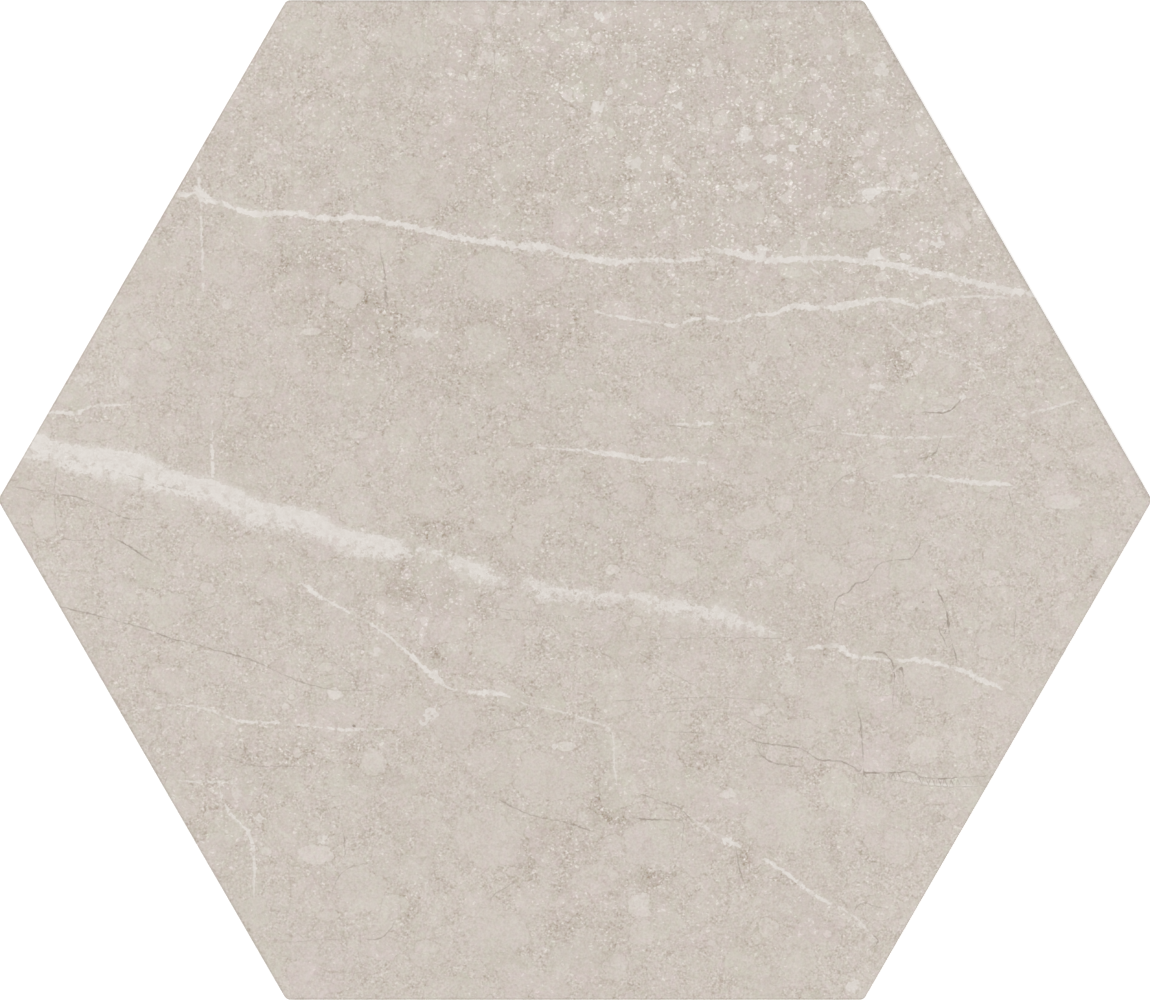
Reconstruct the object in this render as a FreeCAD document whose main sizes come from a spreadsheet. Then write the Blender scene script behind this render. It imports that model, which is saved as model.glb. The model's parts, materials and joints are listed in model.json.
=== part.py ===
# Hexagon floor tile: one dry-pressed, glazed porcelain tile with a regular six-sided outline.
#
# The tile lies face up. The origin is the middle of its back, where it is bedded, +Z points out of
# the glazed face, and two of the six corners point along X. From the face down it has an eased
# arris, an upright band that meets the grout, a drafted skirt that lets the pressing leave its die,
# and a keyed back: shallow six-sided cells between ribs, inside a plain border.
import FreeCAD, Part
import Sketcher
import math
import os

SIDES = 6
HALF_SECTOR_DEGREES = 180 / SIDES
HALF_SECTOR = math.radians(HALF_SECTOR_DEGREES)
COS_HALF_SECTOR = f"cos({HALF_SECTOR_DEGREES} deg)"

# Where the first corner of an outline lies, as an angle from +X.
POINTS_ALONG_X = 0.0
POINTS_ALONG_Y = HALF_SECTOR

doc = FreeCAD.newDocument("hexagon_floor_tile")
sheet = doc.addObject("Spreadsheet::Sheet", "Sizes")

# Alias, value and meaning of each driving size, in millimetres, or degrees where it says so.
DRIVING_SIZES = [
    ("across_flats", 250, "between two opposite sides of the face"),
    ("tile_thickness", 9, "from the bed to the face"),
    ("corner_radius", 1.8, "the six corners, seen from above"),
    ("face_arris_radius", 0.8, "the eased edge round the face"),
    ("skirt_height", 3.6, "the drafted part of the side, up from the back"),
    ("skirt_inset", 0.6, "how far the draft brings the back in, on each side"),
    ("back_border", 7, "the least plain width between the back's edge and the cells"),
    ("cell_pitch", 28, "between the middles of two neighbouring cells"),
    ("rib_width", 3, "the flat top of a rib between two cells"),
    ("cell_depth", 0.6, "how deep a cell is pressed into the back"),
    ("cell_corner_radius", 2.5, "the corners of a cell, seen from below"),
    ("cell_draft", 30, "degrees that a cell's walls lean outwards"),
]
for row, (alias, value, meaning) in enumerate(DRIVING_SIZES, start=1):
    sheet.set(f"A{row}", meaning)
    sheet.set(f"B{row}", str(value))
    sheet.setAlias(f"B{row}", alias)
doc.recompute()


def origin_plane(body, role):
    """One of the body's own origin planes."""
    return next(f for f in body.Origin.OriginFeatures if f.Role == role)


def rounded_hexagon(body, name, first_corner, across, corner_radius, height="0"):
    """A sketch of a regular hexagon with rounded corners, parallel to the back.

    across, corner_radius and height are expressions on the sheet. The middles of the six corner
    arcs lie on a construction circle, and six equal lines join the arcs.
    """
    sketch = body.newObject("Sketcher::SketchObject", name)
    sketch.AttachmentSupport = [(origin_plane(body, "XY_Plane"), "")]
    sketch.MapMode = "FlatFace"
    sketch.setExpression("AttachmentOffset.Base.z", height)

    # The drawn sizes are only a start: the constraints below set the real ones.
    drawn_pitch_radius = 10.0
    drawn_corner = 1.0
    middle = FreeCAD.Vector(0, 0, 0)
    upward = FreeCAD.Vector(0, 0, 1)
    pitch_circle = sketch.addGeometry(Part.Circle(middle, upward, drawn_pitch_radius), True)
    arcs = []
    for corner in range(SIDES):
        bearing = first_corner + 2 * HALF_SECTOR * corner
        corner_middle = drawn_pitch_radius * FreeCAD.Vector(math.cos(bearing), math.sin(bearing), 0)
        circle = Part.Circle(corner_middle, upward, drawn_corner)
        arc = Part.ArcOfCircle(circle, bearing - HALF_SECTOR, bearing + HALF_SECTOR)
        arcs.append(sketch.addGeometry(arc))
    lines = []
    for corner in range(SIDES):
        arc_end = sketch.Geometry[arcs[corner]].EndPoint
        next_start = sketch.Geometry[arcs[(corner + 1) % SIDES]].StartPoint
        lines.append(sketch.addGeometry(Part.LineSegment(arc_end, next_start)))

    start, end, centre = 1, 2, 3
    root = -1
    for corner in range(SIDES):
        following = (corner + 1) % SIDES
        sketch.addConstraint(Sketcher.Constraint("Tangent", arcs[corner], end, lines[corner], start))
        sketch.addConstraint(Sketcher.Constraint("Tangent", lines[corner], end, arcs[following], start))
        sketch.addConstraint(Sketcher.Constraint("PointOnObject", arcs[corner], centre, pitch_circle))
    for corner in range(1, SIDES):
        sketch.addConstraint(Sketcher.Constraint("Equal", arcs[0], arcs[corner]))
        sketch.addConstraint(Sketcher.Constraint("Equal", lines[0], lines[corner]))
    level = "Horizontal" if first_corner == POINTS_ALONG_X else "Vertical"
    level_line = lines[1] if first_corner == POINTS_ALONG_X else lines[SIDES - 1]
    sketch.addConstraint(Sketcher.Constraint(level, level_line))
    sketch.addConstraint(Sketcher.Constraint("Coincident", pitch_circle, centre, root, start))

    def sized(constraint, label, expression):
        index = sketch.addConstraint(constraint)
        sketch.renameConstraint(index, label)
        sketch.setExpression(f"Constraints.{label}", expression)

    sized(Sketcher.Constraint("Radius", arcs[0], drawn_corner), "corner", corner_radius)
    sized(
        Sketcher.Constraint("Radius", pitch_circle, drawn_pitch_radius),
        "corner_pitch",
        f"(({across}) / 2 - ({corner_radius})) / {COS_HALF_SECTOR}",
    )
    return sketch


def highest_face(shape):
    """The name of the face that lies highest."""
    heights = [face.CenterOfMass.z for face in shape.Faces]
    return f"Face{heights.index(max(heights)) + 1}"


def pressed_slab():
    """The tile's own block: the drafted skirt, the upright band above it and the eased arris."""
    body = doc.addObject("PartDesign::Body", "PressedSlab")
    back_outline = rounded_hexagon(
        body,
        "BackOutline",
        POINTS_ALONG_X,
        across="Sizes.across_flats - 2 * Sizes.skirt_inset",
        corner_radius="Sizes.corner_radius",
    )
    face_outline = rounded_hexagon(
        body,
        "FaceOutline",
        POINTS_ALONG_X,
        across="Sizes.across_flats",
        corner_radius="Sizes.corner_radius",
        height="Sizes.skirt_height",
    )
    doc.recompute()

    skirt = body.newObject("PartDesign::AdditiveLoft", "Skirt")
    skirt.Profile = back_outline
    skirt.Sections = [face_outline]
    skirt.Ruled = True

    band = body.newObject("PartDesign::Pad", "UprightBand")
    band.Profile = face_outline
    band.setExpression("Length", "Sizes.tile_thickness - Sizes.skirt_height")
    doc.recompute()

    arris = body.newObject("PartDesign::Fillet", "FaceArris")
    arris.Base = (band, [highest_face(band.Shape)])
    arris.setExpression("Radius", "Sizes.face_arris_radius")
    doc.recompute()
    return body


def cell_tooth():
    """The tooth of the die that presses one cell into the back. It narrows upwards, by its draft."""
    body = doc.addObject("PartDesign::Body", "CellTooth")
    outline = rounded_hexagon(
        body,
        "ToothOutline",
        POINTS_ALONG_Y,
        across="Sizes.cell_pitch - Sizes.rib_width",
        corner_radius="Sizes.cell_corner_radius",
    )
    doc.recompute()
    tooth = body.newObject("PartDesign::Pad", "Tooth")
    tooth.Profile = outline
    tooth.setExpression("Length", "Sizes.cell_depth")
    tooth.setExpression("TaperAngle", "-Sizes.cell_draft")
    doc.recompute()
    return body


def honeycomb(tooth_body, rings):
    """The tooth at each place of a honeycomb: one in the middle, and six more in each ring than before.

    A place is `along` pitches along X and `aslant` pitches along a line at 60 degrees to it.
    """
    places = range(-rings, rings + 1)
    teeth = []
    for aslant in places:
        for along in places:
            if abs(along + aslant) > rings:
                continue
            tooth = doc.addObject("App::Link", "ToothCopy")
            tooth.LinkedObject = tooth_body
            tooth.setExpression("Placement.Base.x", f"({along} + {aslant} / 2) * Sizes.cell_pitch")
            tooth.setExpression("Placement.Base.y", f"{aslant} * {COS_HALF_SECTOR} * Sizes.cell_pitch")
            teeth.append(tooth)
    die = doc.addObject("Part::Compound", "BackDie")
    die.Links = teeth
    doc.recompute()
    return die


def ring_count():
    """How many rings of whole cells the back has room for, inside its border."""
    back_inradius = sheet.across_flats / 2 - sheet.skirt_inset
    cell_reach = (sheet.cell_pitch - sheet.rib_width) / 2 / math.cos(HALF_SECTOR)
    room = back_inradius - sheet.back_border - cell_reach
    return int(room // (sheet.cell_pitch * math.cos(HALF_SECTOR)))


def upright_cell_volume():
    """What one cell would take out of the back if its walls had no draft."""
    across = sheet.cell_pitch - sheet.rib_width
    sharp = across**2 * math.sqrt(3) / 2
    lost_at_corners = sheet.cell_corner_radius**2 * (SIDES * math.tan(HALF_SECTOR) - math.pi)
    return (sharp - lost_at_corners) * sheet.cell_depth


slab = pressed_slab()
die = honeycomb(cell_tooth(), ring_count())

tile = doc.addObject("Part::Cut", "HexagonTile")
tile.Label = "hexagon_tile"
tile.Base = slab
tile.Tool = die
tile.Placement = FreeCAD.Placement()
doc.recompute()

failed = [o.Name for o in doc.Objects if "Invalid" in o.State or "Error" in o.State]
if failed:
    raise RuntimeError(f"these objects failed: {failed}")
if tile.Shape.isNull() or not tile.Shape.isValid() or len(tile.Shape.Solids) != 1:
    raise RuntimeError("the tile is not one valid solid")
cells = len(die.Links)
pressed_out = slab.Shape.Volume - tile.Shape.Volume
print(f"{cells} cells took {pressed_out:.0f} mm3, upright ones would take {cells * upright_cell_volume():.0f}")

os.makedirs("parts", exist_ok=True)
tile.Shape.exportStep(f"parts/{tile.Label}.step")
print(f"{tile.Label}: {tile.Shape.Volume:.0f} mm3, {len(tile.Shape.Faces)} faces")
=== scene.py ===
"""Hexagon floor tile: the looks of one dry-pressed, glazed porcelain tile with a limestone face.

The tile lies face up in the frame's own place: the middle of its back is the origin, +Z points out
of the glaze and two of its six corners point along X. Lengths are in metres, and the stone's own
pattern is written in millimetres.
"""
import json
import math

import bmesh
import bpy
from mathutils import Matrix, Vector

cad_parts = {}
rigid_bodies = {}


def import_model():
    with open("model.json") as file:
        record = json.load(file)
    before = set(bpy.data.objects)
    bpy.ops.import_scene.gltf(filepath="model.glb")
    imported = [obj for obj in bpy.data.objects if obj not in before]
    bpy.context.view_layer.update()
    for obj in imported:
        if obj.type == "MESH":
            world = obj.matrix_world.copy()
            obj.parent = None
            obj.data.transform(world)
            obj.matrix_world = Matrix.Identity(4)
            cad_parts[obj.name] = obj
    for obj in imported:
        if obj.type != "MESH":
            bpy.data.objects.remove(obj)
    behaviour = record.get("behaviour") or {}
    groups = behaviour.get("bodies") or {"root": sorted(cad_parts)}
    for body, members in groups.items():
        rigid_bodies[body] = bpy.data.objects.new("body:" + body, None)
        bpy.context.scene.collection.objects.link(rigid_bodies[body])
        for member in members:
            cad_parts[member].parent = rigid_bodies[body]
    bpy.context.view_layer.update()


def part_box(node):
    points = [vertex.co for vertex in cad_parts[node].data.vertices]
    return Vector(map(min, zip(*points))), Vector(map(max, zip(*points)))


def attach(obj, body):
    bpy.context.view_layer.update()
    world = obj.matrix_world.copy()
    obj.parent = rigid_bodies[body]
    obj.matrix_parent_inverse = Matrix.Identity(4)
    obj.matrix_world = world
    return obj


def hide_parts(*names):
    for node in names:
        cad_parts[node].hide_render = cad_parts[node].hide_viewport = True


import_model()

bl_info = {
    "name": "Hexagon Floor Tile",
    "version": (1, 0, 0),
    "blender": (4, 5, 0),
    "location": "3D View > Sidebar > Tile",
    "description": "Builds a limestone-look hexagon floor tile with a keyed back",
    "category": "Add Mesh",
}

NODE = "hexagon_tile"
NODE_LOW, NODE_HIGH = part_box(NODE)

SIDES = 6
HALF_SECTOR = math.pi / SIDES
MM = 0.001
TINY = 1e-6


# Node trees

def feed(tree, socket, value):
    """Joins an output socket to an input one, or sets the input to a plain value."""
    if isinstance(value, bpy.types.NodeSocket):
        tree.links.new(value, socket)
    else:
        socket.default_value = value


def place(tree, kind, inputs=None, **settings):
    """A new node with its settings made and its inputs, by name or number, set or joined."""
    node = tree.nodes.new(kind)
    for name, value in settings.items():
        setattr(node, name, value)
    for key, value in (inputs or {}).items():
        feed(tree, node.inputs[key], value)
    return node


class Sums:
    """Arithmetic on the values of one node tree. Each call adds a Math node and gives its output."""

    def __init__(self, tree):
        self.tree = tree

    def math(self, operation, *values, clamp=False):
        inputs = dict(enumerate(values))
        return place(self.tree, "ShaderNodeMath", inputs, operation=operation, use_clamp=clamp).outputs[0]

    def add(self, a, b):
        return self.math("ADD", a, b)

    def sub(self, a, b):
        return self.math("SUBTRACT", a, b)

    def mul(self, a, b):
        return self.math("MULTIPLY", a, b)

    def div(self, a, b):
        return self.math("DIVIDE", a, b)

    def most(self, a, b):
        return self.math("MAXIMUM", a, b)

    def least(self, a, b):
        return self.math("MINIMUM", a, b)

    def combine(self, x=0.0, y=0.0, z=0.0):
        return place(self.tree, "ShaderNodeCombineXYZ", {0: x, 1: y, 2: z}).outputs[0]

    def split(self, vector):
        return place(self.tree, "ShaderNodeSeparateXYZ", {0: vector}).outputs

    def ramp(self, value, low, high, start=0.0, end=1.0, smooth=True):
        """start where value is low, end where it is high, and a smooth or even change between."""
        kind = "SMOOTHSTEP" if smooth else "LINEAR"
        inputs = {"Value": value, "From Min": low, "From Max": high, "To Min": start, "To Max": end}
        return place(self.tree, "ShaderNodeMapRange", inputs, interpolation_type=kind).outputs["Result"]


# Sizes, colours and light that a user would change

class TileSizes(bpy.types.PropertyGroup):
    """The sizes of the pressed tile."""

    across_flats: bpy.props.FloatProperty(
        name="Across flats",
        description="Between two opposite sides of the face",
        default=NODE_HIGH.y - NODE_LOW.y,
        unit="LENGTH",
    )
    thickness: bpy.props.FloatProperty(
        name="Thickness",
        description="From the bed to the face",
        default=NODE_HIGH.z - NODE_LOW.z,
        unit="LENGTH",
    )
    corner_radius: bpy.props.FloatProperty(
        name="Corner radius",
        description="The six corners, seen from above",
        default=1.8 * MM,
        unit="LENGTH",
    )
    arris_radius: bpy.props.FloatProperty(
        name="Arris radius",
        description="The eased edge round the face",
        default=0.8 * MM,
        unit="LENGTH",
    )
    skirt_height: bpy.props.FloatProperty(
        name="Skirt height",
        description="The drafted part of the side, up from the back",
        default=3.6 * MM,
        unit="LENGTH",
    )
    skirt_inset: bpy.props.FloatProperty(
        name="Skirt inset",
        description="How far the draft brings the back in, on each side",
        default=0.6 * MM,
        unit="LENGTH",
    )
    cell_pitch: bpy.props.FloatProperty(
        name="Cell pitch",
        description="Between the middles of two neighbouring cells of the back",
        default=28 * MM,
        unit="LENGTH",
    )
    rib_width: bpy.props.FloatProperty(
        name="Rib width",
        description="The flat top of a rib between two cells",
        default=3 * MM,
        unit="LENGTH",
    )
    cell_depth: bpy.props.FloatProperty(
        name="Cell depth",
        description="How deep a cell is pressed into the back",
        default=0.6 * MM,
        unit="LENGTH",
    )
    cell_corner_radius: bpy.props.FloatProperty(
        name="Cell corner radius",
        description="The corners of a cell, seen from below",
        default=2.5 * MM,
        unit="LENGTH",
    )
    cell_draft: bpy.props.FloatProperty(
        name="Cell draft",
        description="How far a cell's walls lean outwards",
        default=math.radians(30),
        subtype="ANGLE",
    )
    cell_rings: bpy.props.IntProperty(
        name="Cell rings",
        description="Rings of cells round the middle one",
        default=4,
        min=0,
    )
    face_relief: bpy.props.FloatProperty(
        name="Face relief",
        description="How deep the gentle unevenness of the fired face goes",
        default=0.05 * MM,
        unit="LENGTH",
    )


class StudioSettings(bpy.types.PropertyGroup):
    """The floor, lamps and camera."""

    lens: bpy.props.FloatProperty(
        name="Lens",
        description="Focal length, in the camera's own millimetres",
        default=300,
    )
    framed_width: bpy.props.FloatProperty(
        name="Framed width",
        description="How much of the face's plane the frame takes in, from side to side",
        default=287.5 * MM,
        unit="LENGTH",
    )
    lamp_share: bpy.props.FloatProperty(
        name="Lamp share",
        description="The part of the light that the lamps give. The sky gives the rest",
        default=0.62,
        min=0,
        max=1,
    )


# The stone's own marks, in millimetres on the face, X to the right and Y up as it is seen from above

# Each line runs through its points. The third number is half of the line's thickness there.
BROAD_VEIN = {
    "vein": (
        (-145, 15.4, 3.0), (-135, 13.5, 3.3), (-130, 12, 2.5), (-125, 10.3, 3.5), (-120, 9.5, 3.4),
        (-115, 8.8, 3.7), (-110, 7.7, 4.0), (-105, 5.8, 3.2), (-100, 4.3, 2.8), (-95, 3.2, 2.7),
        (-90, 2.2, 2.6), (-85, -0.2, 2.7), (-80, -3.5, 3.4), (-75, -4.0, 2.9), (-70, -4.8, 3.1),
        (-65, -6.2, 2.7), (-60, -9.0, 2.4), (-55, -10.8, 3.1), (-50, -11.5, 2.9), (-45, -12.5, 2.4),
        (-42, -13.5, 0.9), (-41, -13.8, 0),
    ),
    "patches": (
        (-39.6, -12.9, 0), (-38, -12.8, 1.0), (-35.5, -13.4, 0.6), (-33, -14.6, 0.3), (-30.5, -15.6, 1.0),
        (-28, -16.8, 2.0), (-23, -18.2, 1.9), (-19.5, -19.6, 1.2), (-17.5, -20.6, 0.5), (-15.5, -20.8, 0),
    ),
    "far_patches": (
        (-13.5, -20.0, 0), (-12.5, -20.4, 0.9), (-8, -23.0, 2.0), (-3, -23.3, 1.9), (1, -24, 1.5),
        (7.3, -24.4, 1.2), (11.5, -24.6, 0.3), (13.8, -24.6, 0.7), (16.8, -24.9, 1.3), (21.3, -26.4, 1.5),
        (27, -27.2, 2.1), (33, -28.2, 1.7), (37, -29, 1.9), (41, -30.6, 1.2), (44.3, -32.2, 0.6),
        (48.8, -33, 0.8), (50.2, -33.6, 0),
    ),
}
VEINS = {
    "long_vein_tail": (
        (52.5, -37.6, 0), (54, -37.8, 0.55), (56.5, -37.2, 0.2), (60, -36.9, 0.6), (64, -36.4, 0.6),
        (67, -37.2, 0.95), (69, -38.9, 0.6), (74, -39.6, 0.5), (81, -40, 0.45), (86, -40, 0.65),
        (90, -40.8, 0.6), (94, -42, 0.45), (98, -43.4, 0.85), (102, -45, 0.8), (106, -46.8, 0.6), (108, -47.4, 0),
    ),
    "long_vein": (
        (-101, 76, 0), (-98, 76.2, 0.9), (-95.5, 76.6, 0.5), (-93.5, 76.4, 1.4), (-91, 74.8, 0.8),
        (-87, 73.7, 0.6), (-83, 72.3, 0.8), (-79.5, 71.5, 1.0), (-70.5, 71.8, 0.7), (-63, 70.2, 0.9),
        (-53.3, 70.8, 0.8), (-46, 69.3, 0.8), (-40, 68, 0.8), (-33, 66.7, 0.9), (-28, 65.4, 0.8),
        (-18.3, 63.8, 1.0), (-14, 63.3, 1.0), (-9.3, 63.5, 1.3), (-5.5, 63.2, 0.9), (-2.5, 61.6, 0.9),
        (2, 60.9, 0.9), (9, 59.3, 1.1), (16, 60, 0.7), (27, 60, 0.6), (31.3, 60.3, 0.5), (32.5, 60.3, 0),
    ),
    "long_vein_step": (
        (30.5, 62.4, 0), (33, 62.6, 0.5), (41, 61.6, 0.9), (50, 60, 1.0), (64, 60.6, 0.8), (70, 60, 0.9),
        (83, 58, 0.9), (93, 56.1, 0.9), (106, 53, 0.9), (115, 51.3, 0.8), (124, 50, 0.6),
    ),
    "branch": (
        (4, 47.5, 0), (6.5, 46.9, 0.5), (18, 44.7, 0.4), (25, 43.8, 0.5), (29.5, 45, 0.5),
        (34.5, 45.3, 0.5), (39.7, 44.5, 0.4), (44.8, 46.3, 0.6), (50, 46.6, 0.5), (54.3, 48.2, 1.0),
        (60, 48.2, 0.9), (62.3, 48.2, 0.3), (65.2, 48.2, 1.0), (70.3, 49.1, 0.9), (76.7, 50.4, 0.6),
        (81, 49.8, 0.6), (85, 48.5, 0.6), (89.4, 49.5, 0.6), (96.3, 50.8, 0.4), (109, 50.5, 0.3), (113, 50.5, 0),
    ),
    "middle_dashes": (
        (-12, 13.2, 0), (-9, 13, 0.3), (-5.5, 12.8, 0.2), (0.3, 12.4, 0.5), (4.8, 11.8, 0.6),
        (11, 11.1, 0.8), (17.5, 10.2, 0.8), (20, 10.2, 0.2), (24, 10.2, 0.6), (32, 9.5, 0.4), (34, 9.4, 0),
    ),
    "upper_dashes": (
        (16, 17.3, 0), (22.5, 18.5, 0.2), (29, 19.1, 0.5), (34, 19.1, 0.5), (38, 19, 0.2), (46, 18.8, 0),
    ),
    "right_dashes": (
        (56, 18, 0), (60, 17.3, 0.2), (66, 16.6, 0.2), (72.4, 16.2, 0.4), (82, 15.6, 0.4), (95, 15.9, 0.2), (98, 16, 0),
    ),
    "right_low_dashes": (
        (66, 5, 0), (69, 4.7, 0.5), (74.3, 4.4, 0.4), (77, 5.2, 0.2), (81, 6, 0.5), (88.4, 6, 0.5),
        (95, 4.8, 0.6), (101, 4.4, 0.7), (107.5, 4.0, 0.5), (110, 3.6, 0),
    ),
    "right_thread": ((74, 48, 0), (79, 44, 0.3), (83.3, 40.5, 0.3), (95, 36, 0.3), (101.8, 32.3, 0.3), (103, 31.6, 0)),
    "far_right_thread": ((110, 20.8, 0), (112, 21.2, 0.4), (117, 22.3, 0.4), (123.5, 24.3, 0.3), (126, 25, 0)),
    "beside_right_crack": ((78, -69, 0), (84, -70, 0.3), (92, -71.3, 0.35), (98, -71.6, 0.3), (103, -71.8, 0)),
    "short_thread": ((58, 58.4, 0), (60, 57, 0.3), (64, 53.6, 0.3), (65.5, 52.4, 0)),
    "star_tail": ((72, 77.2, 0.6), (76, 77.8, 0.4), (83, 77.5, 0.3), (86, 77.4, 0)),
    "chain": (
        (-68.5, -20.8, 0), (-67, -21.6, 0.5), (-64, -24, 0.8), (-62, -25, 0.3), (-57, -27.8, 0.6),
        (-54.5, -29, 0.3), (-48, -33, 0.5), (-44.5, -36, 0.3), (-41.3, -38.7, 0.7), (-37.4, -42.3, 0.7),
        (-34.8, -44.1, 1.3), (-32.3, -46.7, 0.4), (-27.8, -47.7, 0.4), (-22, -48, 0.8), (-17, -48.9, 0.4),
        (-14, -50.3, 0.3), (-11.3, -51.5, 0.3), (-6, -52.4, 0.2), (-1.5, -53.5, 0.5), (3.5, -55.0, 0.35),
        (8, -56.6, 0.3), (9.4, -58.5, 0.25), (9.6, -62, 0.3), (9.7, -66, 0.35), (10.2, -69, 0.3), (10.6, -71, 0),
    ),
    "chain_end": (
        (24, -76, 0), (26, -77, 0.15), (30.4, -80.2, 0.3), (35.5, -83.4, 0.45), (38.7, -85.3, 0.7),
        (42.5, -87.3, 0.25), (47.5, -89.8, 0.4), (54, -94.3, 0.6), (59, -98, 0.65), (64.2, -101.3, 0.4),
        (69.3, -103.8, 0.3), (73.8, -108.3, 0.35), (76, -110, 0),
    ),
    "left_thread": (
        (-116, -53, 0), (-113, -52.8, 0.3), (-106, -52.4, 0.3), (-100, -51.2, 0.3), (-93.5, -51.8, 0.3),
        (-86, -54.7, 0.35), (-81, -55.6, 0.5), (-72, -55.9, 0.4), (-63, -56.9, 0.3), (-59, -57.5, 0.5),
        (-49, -57.2, 0.3), (-45, -57, 0),
    ),
    "low_left_thread": ((-100, -70, 0), (-97, -70.2, 0.3), (-88.5, -70.6, 0.4), (-86, -70.6, 0)),
    "hook": (
        (-89.4, -71, 0), (-89, -72.2, 0.3), (-88, -75.4, 0.4), (-85.2, -79.8, 0.6), (-81.7, -83, 0.5),
        (-80.4, -86.8, 0.5), (-80.1, -92, 0.4), (-80.4, -99.6, 0.2), (-80.4, -103, 0),
    ),
    "left_climb": ((-94.4, 86, 0), (-94.2, 83, 0.4), (-94, 78, 0.5), (-93.6, 72, 0.4), (-92.9, 54, 0.3), (-92.7, 51, 0)),
    "short_climb": ((-90.8, 22, 0), (-90.8, 18, 0.3), (-90.7, 12, 0.5), (-90.6, 5.5, 0.5), (-90.4, 3, 0.3)),
    "short_slash": ((-84.3, -12.6, 0), (-83.6, -14, 0.5), (-82.2, -16.4, 0.5), (-81.4, -17.6, 0)),
    "left_wisp": ((-132, 22, 0.5), (-129, 21.9, 0.6), (-126, 21.6, 0.5), (-123.6, 22, 0.7), (-122, 23, 0.3), (-118, 23.5, 0.4),
        (-114, 23.8, 0.3), (-108, 24, 0)),
}
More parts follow.
